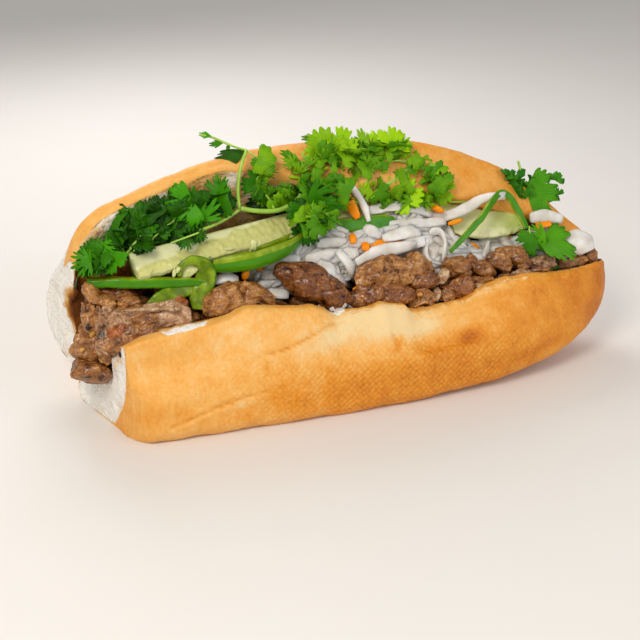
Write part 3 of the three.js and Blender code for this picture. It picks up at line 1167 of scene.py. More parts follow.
@dataclass(frozen=True)
class Crease:
    """A fold in the front crust.

    Attributes:
        route: points of the camera's view along it.
        depth: how deep it is, in mm.
        width: half its width, in pixels of the view.
    """

    route: tuple[Spot, ...]
    depth: float
    width: float


@dataclass(frozen=True)
class Patch:
    """A part of the front crust that is darker or paler: mostly its baked tone, but a few are
    painted shade and one is a painted highlight.

    Attributes:
        px, py: its middle in the camera's view.
        half_width, half_height: half its sizes there.
        turn: how far it is turned, in degrees.
        amount: how much darker it is, below 0 for paler.
    """

    px: float
    py: float
    half_width: float
    half_height: float
    turn: float
    amount: float


@dataclass
class Roll:
    """The crusty roll, cut across at one end, split along its length and opened upwards."""

    # The cut end, which slants, and the rounded end.
    cut_x: float = -6.6
    cut_skew: float = 0.36
    skew_fades_x: float = 54.0
    gape_fades_x: float = 64.0
    tip_x: float = 220.5
    # The upper half's crest: where it is highest and how it falls away to both ends.
    crest_x: float = 88.0
    crest_y: float = 59.0
    crest_z: float = 100.0
    left_drop: float = 22.0
    end_drop: float = 14.0
    right_fall: float = 0.0015
    # How long the rounded end is, and the middle that it closes on.
    dome_length: float = 130.0
    dome_y: float = 41.0
    dome_z: float = 36.0
    # The front lip's depth, how far it leans out at the cut, and where its crumb is torn open.
    lip_depth: float = 9.5
    lip_lean: float = 5.5
    dip_x: float = 82.5
    # How far the cut's corners are rounded off, at the lip and at the crest.
    corner_radius: float = 6.0
    lid_radius: float = 15.0
    # The section's corners, counted from the lip under the roll: all of them, the edge of the
    # upper crust, and where the count turns to what lies behind the lip.
    corner_count: int = 28
    cut_edge_corner: int = 20
    behind_lip_corner: int = 24
    # How finely each stretch of the section is divided: first corner, last corner, steps.
    outside: tuple[tuple[int, int, int], ...] = ((0, 8, 92), (8, 13, 24), (13, 17, 28), (17, 20, 48))
    inside: tuple[tuple[int, int, int], ...] = ((20, 23, 44), (23, 27, 28), (27, 28, 24))
    cap_rows: int = 30
    # The sections stand close together at the cut, then evenly, then closer as the roll ends.
    cut_sections: int = 24
    even_sections: int = 165
    end_sections: int = 100
    even_from_x: float = 8.0
    even_to_x: float = 155.0
    # The front lip in the camera's view, with its torn dips and its flap.
    lip_route: tuple[Spot, ...] = (
        (108, 361), (116, 358), (123, 353), (130, 347.5), (143, 342), (161, 337.5), (190, 331), (212, 325),
        (230, 319), (245, 309.5), (258, 308), (304, 308), (314, 306.5), (325, 309.5), (334, 314.5),
        (342, 312), (350, 311), (362, 310), (374, 307.5), (383, 302.5), (392, 306), (405, 305.5),
        (411, 309.5), (421, 311), (436, 307), (452, 303), (466, 300), (474, 294), (488, 286), (502, 280),
        (521, 277), (547, 275), (570, 271),
    )
    # Where the crust begins at the lower front corner of the cut, in the camera's view.
    corner_border: tuple[tuple[int, ...], tuple[int, ...]] = (
        (124, 126, 126, 124, 119, 113, 108),
        (350, 365, 390, 404, 416, 427, 436),
    )
    creases: tuple[Crease, ...] = (
        Crease(((248, 362), (262, 355), (272, 353.5), (289, 348), (303, 341), (316, 334), (331, 325),
            (347, 321)), 2.1, 2.2),
        Crease(((172, 428), (196, 417.5), (222, 406), (250, 396.5), (284, 386)), 1.4, 2.2),
        Crease(((325, 335), (328, 341), (331, 350)), 0.6, 1.2),
        Crease(((393, 333), (397, 342), (401, 352)), 1.3, 2.2),
        Crease(((266, 357), (267, 375)), 0.5, 3.0),
        Crease(((541, 289), (544, 293), (547, 297)), 0.9, 1.3),
        Crease(((531, 298), (534, 293), (536, 289)), 0.7, 1.2),
        Crease(((420, 308), (422, 315), (430, 318), (445, 314)), 0.8, 1.5),
        Crease(((445, 314), (470, 312), (498, 300)), 0.4, 2.0),
        Crease(((352, 322), (362, 340), (358, 352)), 0.35, 2.0),
        Crease(((206, 352), (226, 360), (250, 362)), 0.35, 2.0),
    )
    # Most patches are the crust's baked tone. The thin paler one at (238, 406), under the low crease, is a
    # painted highlight; the narrow darker ones at (398, 344) and (267, 366) lie along creases and are painted
    # shade.
    patches: tuple[Patch, ...] = (
        Patch(168, 416, 34, 12, 18, 0.14),
        Patch(140, 395, 12, 26, 0, 0.06),
        Patch(250, 412, 80, 10, 14, 0.1),
        Patch(238, 406, 16, 2.5, 16, -0.22),
        Patch(230, 338, 22, 14, 0, -0.1),
        Patch(330, 338, 26, 15, 20, -0.2),
        Patch(378, 317, 38, 13, 5, -0.36),
        Patch(400, 332, 50, 12, 10, -0.24),
        Patch(430, 325, 16, 8, 10, -0.1),
        Patch(330, 385, 70, 24, 12, 0.14),
        Patch(400, 385, 70, 26, 14, 0.2),
        Patch(468, 336, 15, 8, 12, 0.42),
        Patch(440, 350, 50, 14, 10, 0.14),
        Patch(480, 360, 60, 24, 16, 0.12),
        Patch(548, 300, 60, 40, 20, 0.2),
        Patch(575, 285, 9, 40, -10, 0.14),
        Patch(560, 345, 40, 7, 24, -0.16),
        Patch(596, 295, 9, 50, -8, 0.26),
        Patch(535, 352, 46, 8, 22, 0.22),
        Patch(398, 344, 3.5, 9, -25, 0.22),
        Patch(267, 366, 3.5, 8, 0, 0.14),
        Patch(492, 288, 36, 5, 20, -0.2),
    )

    def gape(self, x: Points) -> Points:
        """1 at the cut end, where the upper half leans forward, and 0 from the middle on."""
        return 1 - ease(x, self.cut_x, self.gape_fades_x)

    def rounding(self, x: Points, radius: float) -> Points:
        """How far a corner of the cut is rounded off: 1 at the cut, 0 from a radius on."""
        past = np.clip((x - self.cut_x) / radius, 0, 1)
        return 1 - np.sqrt(1 - (1 - past) ** 2)

    def dome(self, x: Points) -> Points:
        """Scale of the section where the roll closes at its rounded end."""
        share = np.clip((x - self.tip_x + self.dome_length) / self.dome_length, 0, 0.9999)
        return (1 - share**2.5) ** 0.44

    def crest(self, x: Points) -> Points:
        """Height of the upper half's crest.

        Args:
            x: places along the roll.

        Returns:
            The heights.
        """
        right = self.crest_z - self.right_fall * (x - self.crest_x) ** 2
        share = np.clip((self.crest_x - x) / (self.crest_x - self.cut_x), 0, None)
        left = self.crest_z - self.left_drop * share**2.4 - self.end_drop * self.rounding(x, self.lid_radius)
        return np.where(x > self.crest_x, right, left)

    def lip(self, x: Points) -> Points:
        """Height of the front lip before the section is scaled towards the rounded end.

        Args:
            x: places along the roll.

        Returns:
            The heights, settled in a few rounds because the lip's depth hangs on its place.
        """
        place = np.array([VIEW.at_depth(px, py, self.lip_depth) for px, py in self.lip_route])
        for _ in range(3):
            scale = self.dome(place[:, 0])
            depth = self.lip_depth - self.lip_lean * self.gape(place[:, 0])
            depth = self.dome_y + (depth - self.dome_y) * scale
            place = np.array([VIEW.at_depth(px, py, y) for (px, py), y in zip(self.lip_route, depth)])
        height = self.dome_z + (place[:, 2] - self.dome_z) / scale
        shifts = np.linspace(-1.2, 1.2, 5)
        return np.mean([np.interp(x + shift, place[:, 0], height) for shift in shifts], axis=0)

    def corners(self, x: Points) -> Points:
        """Corners of the section, from the front lip under the roll and over the upper half to
        the bottom of the split.

        Args:
            x: places along the roll.

        Returns:
            Depth and height of every corner at every place.
        """
        gape, crest, lip = self.gape(x), self.crest(x), self.lip(x)
        pinch = self.rounding(x, self.corner_radius)
        thin = 3.5 * (1 - ease(x, -3, 9))
        deep = self.crest_y - 14 * gape
        curl = 5 + 10 * ease(x, 25, 95)
        drop = 3 + 14 * ease(x, 35, 130)
        pairs = (
            (self.lip_depth - self.lip_lean * gape + 1.2 * pinch, lip),
            (5.5 - 2 * gape + 1.8 * pinch, lip - 3.5),
            (3 * gape + 2.2 * pinch, lip - 14),
            (-3.6 + 6.6 * pinch, 22),
            (-5 + 8 * pinch, 11),
            (-4.6 + 8.2 * pinch, 4.5),
            (-2 + 8 * pinch, 0.9),
            (4 + 6 * pinch, -0.9),
            (16, -1.2),
            (30, -1.2),
            (44 - 4 * gape, -0.6),
            (54 - 8 * gape, 3 + gape),
            (60 - 15 * gape, 10 + 3 * gape),
            (66 - 6 * gape, 14 + 4 * gape),
            (72 - 4 * gape, 27),
            (74 - 6 * gape, 44 - 5 * gape),
            (73.5 - 9 * gape, crest * 0.73),
            (69 - 17 * gape, crest * 0.91),
            (deep, crest),
            (deep - 0.62 * curl, crest - 0.4 * drop),
            (deep - curl, crest - drop),
            (deep - curl + 3.5 + 1.5 * gape, crest * 0.72),
            (51 - 5 * gape, 45),
            (46 - 5 * gape, 28),
            (34, 18.5),
            (22, 19.5),
            (16.8, lip * 0.62),
            (15, lip - 1.6 - thin),
        )
        return np.stack([np.stack([y + 0 * x, z + 0 * x], -1) for y, z in pairs], axis=1)

    def stations(self) -> Points:
        """Where the sections stand along the roll.

        Returns:
            Their places, from the cut to just short of the tip.
        """
        turn = np.sin(np.linspace(0, math.pi / 2, self.end_sections))
        return np.concatenate([
            np.linspace(self.cut_x, self.even_from_x, self.cut_sections, endpoint=False),
            np.linspace(self.even_from_x, self.even_to_x, self.even_sections, endpoint=False),
            self.even_to_x + (self.tip_x - self.even_to_x) * 0.9985 * turn,
        ])

    def places(self) -> Points:
        """Where round the section its points stand, in corners."""
        spans = [*self.outside, *self.inside]
        return np.concatenate([np.linspace(a, b, steps, endpoint=False) for a, b, steps in spans])

    def beside_lip(self, u: Points) -> Points:
        """Places in corners from the lip, below 0 behind it."""
        return np.where(u < self.behind_lip_corner, u, u - self.corner_count)

    def build(self, finish: BreadFinish) -> None:
        """Models the roll and dresses it.

        Args:
            finish: the bread's material.
        """
        x, u = self.stations(), self.places()
        section = catmull_rom(self.corners(x), u)
        scale = self.dome(x)[:, None]
        depth = self.dome_y + (section[..., 0] - self.dome_y) * scale
        height = self.dome_z + (section[..., 1] - self.dome_z) * scale
        skin = np.stack([self.slanted(x[:, None], depth, height), depth, height], -1)
        crust = self.crust_share(x, u)
        skin = self.weathered(skin, x, u, crust)
        skin[..., 2] = np.maximum(skin[..., 2], 0.02 * np.abs(lattice_noise(skin, 5)))
        cap, cap_marks = self.cut_face(skin)
        points = np.vstack([skin.reshape(-1, 3), cap.reshape(-1, 3), skin[-1].mean(0)[None]])
        mesh = bpy.data.meshes.new("bread_roll_baked")
        mesh.from_pydata(to_metres(points), [], self.faces(len(x), len(u)))
        obj = placed(mesh.name, mesh)
        marks = {
            "crust": crust,
            "bake": self.bake(skin, x[:, None], u),
            "net": self.net(skin, u),
            "stain": self.stain(skin, u),
        }
        for name, values in marks.items():
            mark(obj, name, np.concatenate([values.ravel(), cap_marks[name].ravel(), [values[-1].mean()]]))
        dress(obj, [finish.build()], "bread_crust", "bread_roll")

    def slanted(self, x: Points, depth: Points, height: Points) -> Points:
        """Slants the cut end and lets the upper half stop short of the lower one at the tip.

        Args:
            x: where the points' sections stand.
            depth: the points' depths.
            height: the points' heights.

        Returns:
            The points' places along the roll.
        """
        slant = self.cut_skew * (depth - 3) * (1 - ease(x, self.cut_x, self.skew_fades_x))
        over = 0.5 * np.maximum(0, depth - self.dome_y) + 0.1 * np.maximum(0, height - 45)
        rounded = 2.4 * hump(height, 60, 11) * ease(depth, 45, 60) * (1 - ease(x, self.cut_x, 30))
        return x - slant + rounded - ease(x, 180, 216) * over

    def faces(self, rings: int, count: int) -> list[list[int]]:
        """Faces for a tube of sections whose cut face and tip are closed.

        Args:
            rings: how many sections there are.
            count: how many points each has.

        Returns:
            The vertices of each face; the cut face's follow the sections', and the tip's is last.
        """
        inner = sum(steps for _, _, steps in self.inside)
        first = np.arange(rings - 1)[:, None] * count
        at = np.arange(count)[None]
        after = (at + 1) % count
        tube = np.stack([first + at, first + count + at, first + count + after, first + after], -1)
        start, width = rings * count, inner + 1
        row, column = np.meshgrid(np.arange(self.cap_rows - 1), np.arange(inner), indexing="ij")
        a = start + row * width + column
        cap = np.stack([a, a + width, a + width + 1, a + 1], -1)
        faces = [*tube.reshape(-1, 4).tolist(), *cap.reshape(-1, 4).tolist()]
        last = start + (self.cap_rows - 1) * width
        for k in range(inner):
            rim = [(2 * k + j) % count for j in (0, 1, 2)]
            faces.append([*rim, start + k + 1, start + k])
            faces.append([last + k, last + k + 1, count - k - 1, (count - k) % count])
        tip = (rings - 1) * count
        faces.extend([tip + j, last + width, tip + (j + 1) % count] for j in range(count))
        return faces

    def crust_share(self, x: Points, u: Points) -> Points:
        """1 where the skin is crust and 0 where it is crumb, with torn borders.

        Args:
            x: where the sections stand.
            u: where round them the points stand, in corners.

        Returns:
            The share at every point.
        """
        grid = np.stack(np.meshgrid(x, u * 4, indexing="ij"), -1)
        torn = noise(np.concatenate([grid, 0 * grid[..., :1]], -1), 5.0, 11)
        past_lip = self.beside_lip(u)[None] + torn * (0.05 + 0.2 * ease(x, 60, 90))[:, None]
        bare = ease(x, 7, 11) * (1 - ease(x, 25, 31))
        turned = 0.1 + 0.6 * (1 - bare)
        start = (0.9 * hump(x, self.dip_x, 4.0) - turned)[:, None]
        front = ease(past_lip, start, start + 0.08)
        wander = 0.27 * ease(x, 5, 25) + 0.35 * ease(x, 48, 66) + 0.2 * ease(x, 92, 112)
        reach = (self.cut_edge_corner - 0.3 + wander)[:, None]
        upper = 1 - ease(u[None] + torn * 0.06, reach - 0.06, reach + 0.2)
        frayed = ease(x[:, None] + 1.8 * torn, self.cut_x + 3.2, self.cut_x + 5.6)
        behind = (ease(u, 11, 12) * (1 - ease(u, 16.7, 17.2)))[None]
        return front * np.where(u[None] < self.behind_lip_corner, upper * (1 - behind * (1 - frayed)), 1)

    def weathered(self, skin: Points, x: Points, u: Points, crust: Points) -> Points:
        """Gives the skin its waves, creases, torn rim and crumbly inside.

        Args:
            skin: the roll's points, sections by places.
            x: where the sections stand.
            u: where round them the points stand, in corners.
            crust: 1 on crust and 0 on crumb.

        Returns:
            The moved points.
        """
        along = np.gradient(skin, axis=0)
        around = (np.roll(skin, -1, 1) - np.roll(skin, 1, 1)) / 2
        out = unit(np.cross(around, along))
        waves = 0.55 * noise(skin, 34, 21, 2) + 0.38 * noise(skin, 9, 22, 2) + 0.07 * noise(skin, 2.6, 27, 2)
        crumbly = 0.6 * noise(skin, 5, 23) + 0.3 * noise(skin, 1.8, 35, 2)
        height = crumbly + (waves - crumbly) * crust - (u < 10)[None] * self.creased(skin)
        beside = self.beside_lip(u)
        frayed = hump(beside, 0.3, 0.9)[None] * ease(x, 128, 150)[:, None]
        height = height + 0.55 * frayed * noise(skin, 2.4, 28)
        line = on_axis(x)
        ragged = 0.4 * noise(line, 7, 24) + 0.5 * noise(line, 1.8, 25, 2)
        torn = 0.1 + 0.75 * ease(x, 72, 82) + 0.75 * hump(x, 145, 24)
        rim = hump(beside, 0.0, 0.55)[None] * (ragged * torn)[:, None]
        edge = 0.8 * noise(line + [0, 0, 9], 8, 26) * ease(x, 20, 60) + 0.3 * noise(line, 3, 29, 2)
        moved = skin + out * height[..., None]
        moved[..., 2] += rim + hump(u, self.cut_edge_corner, 0.6)[None] * edge[:, None]
        return moved

    def creased(self, skin: Points) -> Points:
        """How deep the creases sink the front crust, below 0 on the soft ridges beside them.

        Args:
            skin: the roll's points, sections by places.

        Returns:
            The depth at every point, in mm.
        """
        depth = np.zeros(skin.shape[:2])
        spots = VIEW.seen(skin)
        for crease in self.creases:
            route = spline(np.array([(px, py, 0.0) for px, py in crease.route]), 60)[:, :2]
            low, high = route.min(0) - 4 * crease.width, route.max(0) + 4 * crease.width
            near = np.all((spots > low) & (spots < high), -1) & (skin[..., 1] < 16)
            gap = np.linalg.norm(spots[near][:, None] - route[None], axis=-1)
            nearest, place = gap.min(1), gap.argmin(1) / (len(route) - 1)
            fade = np.sin(np.clip(place, 0.03, 0.97) * math.pi) ** 0.5
            uneven = 0.75 + 0.35 * noise(skin[near], 4, 33, 2)
            ridge = 0.3 * hump(nearest, crease.width * 1.7, crease.width)
            depth[near] += crease.depth * fade * uneven * (hump(nearest, 0, crease.width * 0.6) - ridge)
        return depth

    def bake(self, skin: Points, x: Points, u: Points) -> Points:
        """How dark the crust is: darker low down, at the very bottom, towards the end, at the back
        and on the crest, darker and paler in patches, and darker in the creases of the front as
        painted shade.

        Args:
            skin: the roll's points, sections by places.
            x: where the sections stand.
            u: where round them the points stand, in corners.

        Returns:
            0 for palest to 1 for darkest, at every point.
        """
        z, y = skin[..., 2], skin[..., 1]
        low = 0.12 * (1 - ease(z, 2, 26)) * ease(x, 20, 90)
        right = 0.12 * ease(x, 90, 205) + 0.2 * ease(x, 205, 221)
        back = (0.3 + 0.1 * ease(z, 30, 80)) * ease(y, 50, 70)
        crest = (0.02 + 0.04 * ease(x, 20, 90)) * ease(u, 16.5, 18.5)[None]
        under = 0.3 * (1 - ease(z, 0, 2)) * ease(y, 4, 12)
        shade = 0.3 + low + right + back + crest + under
        front = (ease(-u, -9.5, -8) * (u < 20))[None]
        spots = VIEW.seen(skin)
        for patch in self.patches:
            turn = math.radians(patch.turn)
            right, down = spots[..., 0] - patch.px, spots[..., 1] - patch.py
            along = (right * math.cos(turn) - down * math.sin(turn)) / patch.half_width
            across = (right * math.sin(turn) + down * math.cos(turn)) / patch.half_height
            shade = shade + front * patch.amount * np.exp(-(along**2 + across**2))
        # Painted shade: the crust is darker in the creases of the front.
        return np.clip(shade + front * 0.22 * np.clip(self.creased(skin), 0, 1), 0.0, 1)

    def net(self, skin: Points, u: Points) -> Points:
        """How much the tray's mesh shows in the crust."""
        x, low = skin[..., 0], 1 - ease(skin[..., 2], 18, 36)
        return 0.1 + 0.9 * low * ease(x, 5, 90) * (1 - 0.7 * ease(x, 135, 195)) * (u < 16)[None]

    def stain(self, skin: Points, u: Points) -> Points:
        """How brown the crumb is: sauce low down, and a light tan of painted shade all over the inside."""
        inside = ease(u, 18.5, 19.2) * (1 - ease(u, 27.2, 27.8))
        # The even share all over the inside is painted shade; the share that grows low down is sauce.
        return inside * (0.16 + 0.08 * ease(skin[..., 0], 0, 14) + 0.6 * (1 - ease(skin[..., 2], 36, 82)))

    def cut_face(self, skin: Points) -> tuple[Points, dict[str, Points]]:
        """The crosswise cut, as rows of points from the outside of the wall to its inside.

        Args:
            skin: the roll's points, sections by places.

        Returns:
            The points, and the face's marks.
        """
        count = skin.shape[1]
        step = np.arange(sum(steps for _, _, steps in self.inside) + 1)
        outer_rim, inner_rim = skin[0, (2 * step) % count], skin[0, (count - step) % count]
        share = ((np.arange(self.cap_rows) + 0.35) / self.cap_rows) ** 1.5
        face = outer_rim[None] + (inner_rim - outer_rim)[None] * share[:, None, None]
        thick = np.linalg.norm(inner_rim - outer_rim, axis=-1)[None]
        wall = thick * share[:, None]
        relief = 1.2 * noise(face, 10, 31, 2) + 0.8 * noise(face, 3.4, 32, 2)
        y, z = face[..., 1], face[..., 2]
        spots = VIEW.seen(face)
        border = np.interp(spots[..., 1], self.corner_border[1], self.corner_border[0])
        calm = 1 - ease(spots[..., 0], border - 9, border) * (y < 25)
        face[..., 0] += (relief * ease(wall, 0.3, 3) + 0.5 * ease(wall, 0, 2)) * calm
        corner = ease(spots[..., 0], border - 1.0, border + 1.0) * (y < 25)
        near_slit = 1 - ease(thick - wall, -5, 12)
        back = ease(y, 30, 38)
        rim = (1 - ease(wall, 0.35, 0.9)) * (1 - back * (1 - ease(z, 56, 64)))
        return face, {
            "crust": np.maximum(rim, corner),
            "bake": 0.3 + 0.1 * corner,
            "net": 0 * y,
            "stain": near_slit * back * (1 - ease(z, 56, 74)),
        }


# ---- Grilled pork -------------------------------------------------------------------------


@dataclass(frozen=True)
class Meat:
    """A piece of pork that shows.

    Attributes:
        px, py: its middle in the camera's view.
        depth: its depth in mm.
        size: its length and height as seen and its thickness away from the camera, in mm.
        turn: how far its length turns up from level, in degrees.
        tone: its colours.
        rough: how deep its creases and bundles are.
        square: how blocky it is, from 1 for a ball down to 0.5.
    """

    px: float
    py: float
    depth: float
    size: Place
    turn: float = 0.0
    tone: PorkTone = PorkTone.BROWN
    rough: float = 1.0
    square: float = 0.75


TAN, BROWN, DARK, RED, GREY, BED, FAT, GLAZE = PorkTone


@dataclass
class Pork:
    """The slices and chunks of pork that show, scraps between them and the bed under them."""

    pore_mm: float = 2.4
    # How finely a piece is divided, by how long it is in mm.
    levels: tuple[tuple[int, int], ...] = ((12, 6), (5, 5), (0, 4))
    bed_voxel: float = 1.2
    groove_mm: float = 4.5
    scrap_count: int = 90
    scrap_sizes: tuple[Spot, ...] = ((6, 11), (4, 6.5), (3.5, 5))
    scrap_tones: tuple[PorkTone, ...] = (TAN, BROWN, BROWN, DARK, RED, GREY)
    rng: np.random.Generator = field(default_factory=lambda: np.random.default_rng(41))
    pieces: dict[str, tuple[Meat, ...]] = field(default_factory=lambda: {
        "pork_end_low": (Meat(93, 371, 24.5, (17.5, 8.5, 20), -9, BROWN, 0.8, 0.6),),
        "pork_end_heel": (
            Meat(91.5, 349, 27, (10, 10.5, 16), 25, BROWN, 1.1, 0.6), Meat(80, 352, 31, (6, 8, 8), 60, TAN),
            Meat(84, 338, 33, (7, 7, 8), 10, TAN, 1.1)),
        "pork_end_slab": (
            Meat(106, 334, 20, (7, 20, 9), -4, GREY, 1.0, 0.6),
            Meat(107.5, 350, 19, (5.5, 13, 7), -6, TAN, 0.6), Meat(92.5, 321, 28, (7, 17, 9), 8, TAN, 1.3),
            Meat(99, 318, 26, (6, 11, 8), -20, BROWN, 1.2),
            Meat(108, 345, 17.5, (4.2, 9, 5), -4, GLAZE, 0.4, 0.9),
            Meat(88, 333, 29, (6, 8, 6), 15, BROWN, 1.3)),
        "pork_end_curl": (
            Meat(93, 293, 30, (10, 5.5, 9), -52, TAN, 0.5),
            Meat(104, 301.5, 27, (10.5, 5, 10), -22, TAN, 0.5),
            Meat(112, 298, 31, (20, 10, 8), -5, DARK, 1.2)),
        "pork_slice_a": (
            Meat(160, 317, 18.5, (25, 12.5, 8), 7, GREY, 0.9, 0.55),
            Meat(136, 326, 17.5, (18, 14, 8), 12, BROWN, 1.4, 0.6),
            Meat(119, 322, 18.5, (11, 10, 8), 10, GREY, 0.8),
            Meat(124, 339, 13, (17, 9, 6), 30, BROWN, 1.2),
            Meat(142, 333, 12.5, (16, 7, 6), 16, BROWN, 1.2),
            Meat(124, 320, 16.2, (6.5, 4.5, 3.6), -40, FAT, 0.9, 0.8),
            Meat(118, 332, 14.2, (8, 6, 4), 30, GLAZE, 0.6, 0.8),
            Meat(150, 309.5, 16.5, (24, 1.9, 4), 3, FAT, 0.8, 0.9),
            Meat(181, 316, 20, (11, 5, 6), -38, TAN, 0.6),
            Meat(177, 301, 23, (9, 5.5, 5), -20, GLAZE, 0.7, 0.8),
            Meat(122, 303, 27, (14, 7, 8), 0, BROWN, 1.3)),
        "pork_chunk_b": (
            Meat(224, 300, 20.5, (17, 13.5, 11), 25, TAN, 0.8, 0.7),
            Meat(251, 298, 21, (17, 11, 10), -32, TAN, 0.8, 0.7),
            Meat(214, 308, 18, (9, 7, 6), 10, BROWN, 0.8)),
        "pork_chunk_c": (
            Meat(306, 281, 22, (24, 13.5, 12), -22, DARK, 0.75, 0.85),
            Meat(331, 292, 20, (19, 14.5, 11), -36, DARK, 0.9, 0.8)),
        "pork_slice_d": (
            Meat(376, 273, 26, (19, 13.5, 9), 18, TAN, 1.1, 0.65),
            Meat(402, 271, 26, (21, 12, 9), -6, TAN, 1.1, 0.65),
            Meat(415, 261, 28, (7, 9, 6), 70, TAN, 0.9), Meat(425, 266, 28, (8, 6, 6), -30, TAN, 1.0)),
        "pork_slice_e": (
            Meat(366, 297, 18.5, (17, 8.5, 8), 22, RED, 0.8, 0.75),
            Meat(392, 293.5, 19, (18, 9.5, 9), -5, RED, 0.9, 0.7),
            Meat(405, 294, 19, (8, 9.5, 8), -70, BROWN, 1.0)),
        "pork_chunk_f": (
            Meat(423.5, 280, 19.5, (13.5, 8, 8), 4, RED, 0.35, 0.95),
            Meat(422, 298, 17.5, (10, 9, 7), 10, TAN, 1.1),
            Meat(443.5, 277, 19.5, (7.5, 4.2, 4.5), 65, FAT, 0.9, 0.9),
            Meat(437, 295, 17.5, (6, 3.6, 4.5), 80, FAT, 0.9),
            Meat(420, 294, 14.2, (3.4, 2.4, 2.4), 0, GLAZE, 0.3, 0.9)),
        "pork_chunk_g": (
            Meat(455, 268, 25, (12.5, 10, 9), 8, BROWN, 1.0, 0.7),
            Meat(471, 262, 27, (6, 7, 6), 30, DARK, 1.2)),
        "pork_chunk_h": (
            Meat(458, 289, 19, (14, 11, 8), 24, RED, 1.2, 0.75),
            Meat(445, 295, 18, (7, 7, 6), 0, BROWN, 1.2)),
        "pork_chunk_i": (
            Meat(484, 269, 24, (11, 7.5, 8), -28, BROWN, 0.5, 0.9),
            Meat(474, 283, 21, (9, 7, 6), 10, BROWN, 1.2)),
        "pork_chunk_j": (
            Meat(500, 262, 26, (12, 8, 8), -25, BROWN, 0.7, 0.8),
            Meat(516, 258, 28, (11, 8, 8), 20, BROWN, 0.7, 0.85),
            Meat(507, 253, 29, (11, 6, 7), 5, TAN, 0.8), Meat(523, 264, 26, (7, 7, 6), 40, BROWN, 0.8)),
        "pork_chunk_k": (
            Meat(542, 263, 27, (13, 7.5, 8), 12, GREY, 1.1), Meat(532, 270, 25, (9, 5, 6), 0, DARK, 1.0)),
        "pork_chunk_l": (
            Meat(580, 261, 30.5, (8, 5, 6), 12, TAN, 0.5, 0.9),
            Meat(566, 263, 29, (9, 6, 6), 5, BROWN, 1.0), Meat(591, 257, 31, (6, 5, 5), 0, BROWN, 1.0)),
    })

    def build(self) -> None:
        """Models and dresses every piece of pork."""
        self.balls = {level: ball(level, 1) for _, level in self.levels}
        self.looks = [PorkFinish(tone).build() for tone in PorkTone]
        for node, meats in self.pieces.items():
            batch = Batch()
            for meat in meats:
                self.add_meat(batch, meat)
            self.finished(batch.build(node + "_grilled"), node)
        self.bed()
        self.scraps()

    def finished(self, obj: Thing, *nodes: str) -> None:
        """Dresses a piece, each face in its tone.

        Args:
            obj: the piece.
            *nodes: the solids that it stands for.
        """
        dress(obj, self.looks, "grilled_pork", *nodes)
        tones = np.zeros(len(obj.data.vertices), np.float32)
        obj.data.attributes["tone"].data.foreach_get("value", tones)
        first = np.array([face.vertices[0] for face in obj.data.polygons])
        obj.data.polygons.foreach_set("material_index", np.rint(tones[first]).astype(np.int32))

    def add_meat(self, batch: Batch, meat: Meat) -> None:
        """Adds a piece that shows.

        Args:
            batch: where to add it.
            meat: the piece.
        """
        shape = self.balls[next(level for size, level in self.levels if max(meat.size) > size)]
        points, dent = self.shaped(shape.points, meat.size, meat.rough, meat.square)
        along = VIEW.turned(meat.turn)
        axes = np.stack([along, np.cross(along, VIEW.ahead), VIEW.ahead])
        middle = VIEW.at_depth(meat.px, meat.py, meat.depth)
        batch.add(shape, middle + points @ axes, dent=dent, tone=meat.tone.number)

    def shaped(self, sphere: Points, size: Place, rough: float, square: float) -> tuple[Points, Points]:
        """Turns a ball into a piece of meat.

        Args:
            sphere: the points of a ball of radius 1.
            size: the piece's length, height and thickness in mm.
            rough: how deep its creases and bundles are.
            square: how blocky it is.

        Returns:
            The points about the piece's middle in mm, and how deep in a crack or pore each is,
            where the material paints shade.
        """
        seed = int(self.rng.integers(1, 9000))
        half = np.array(size) / 2
        points = np.sign(sphere) * np.abs(sphere) ** square * half
        bend = 0.27 * min(1.2, 0.6 + 0.5 * rough)
        points = points + wobble(points, 0.88 * half.mean(), seed) * half * bend
        out = unit(sphere / half)
        grain = unit(np.array([1.0, 0.25, 0.2]) + self.rng.normal(0, 0.3, 3))
        stretched = points - 0.7 * (points @ grain)[:, None] * grain
        lobes = noise(points, 5.5, seed + 5, 2)
        fibres = noise(stretched, 1.5, seed + 12, 2)
        bumps = noise(points, 1.0, seed + 14, 2)
        folds = np.abs(noise(points, 13.0, seed + 9, 2))
        crack = (1 - ease(folds, 0.0, 0.07)) * ease(lobes, -0.3, 0.4)
        near, _ = cells(points / self.pore_mm + 40, seed + 17)
        pores = (1 - ease(near, 0.12, 0.4)) * ease(noise(points, 6.0, seed + 20, 1), 0.1, 0.5)
        # How deep in a crack or pore each point is: the material paints shade there.
        dent = np.clip(0.3 * crack + 0.45 * pores * rough - 0.25 * fibres, 0, 1)
        height = 0.25 * lobes + 0.26 * fibres + 0.15 * bumps - 0.25 * crack - 0.45 * pores
        return points + out * (height * (0.35 + 0.65 * rough))[:, None], dent

    def bed(self) -> None:
        """Models and dresses the bed of pork in the fold of the roll, dark all over as painted shade."""
        obj = solid_copy("pork_filling", "pork_bed", self.bed_voxel, 5)
        points = to_mm(read_points(obj))
        near, next_near = cells(points * [0.4, 1, 1] / self.groove_mm + 40, 44)
        groove = 1 - ease(next_near - near, 0.0, 0.3)
        swell(obj, 1.5 * noise(points, 9, 45) - 1.2 * groove + 0.8)
        # The grooves between its lumps are darker, as painted shade.
        mark(obj, "dent", groove)
        mark(obj, "tone", np.full(len(points), BED.number))
        self.finished(obj, "pork_filling")

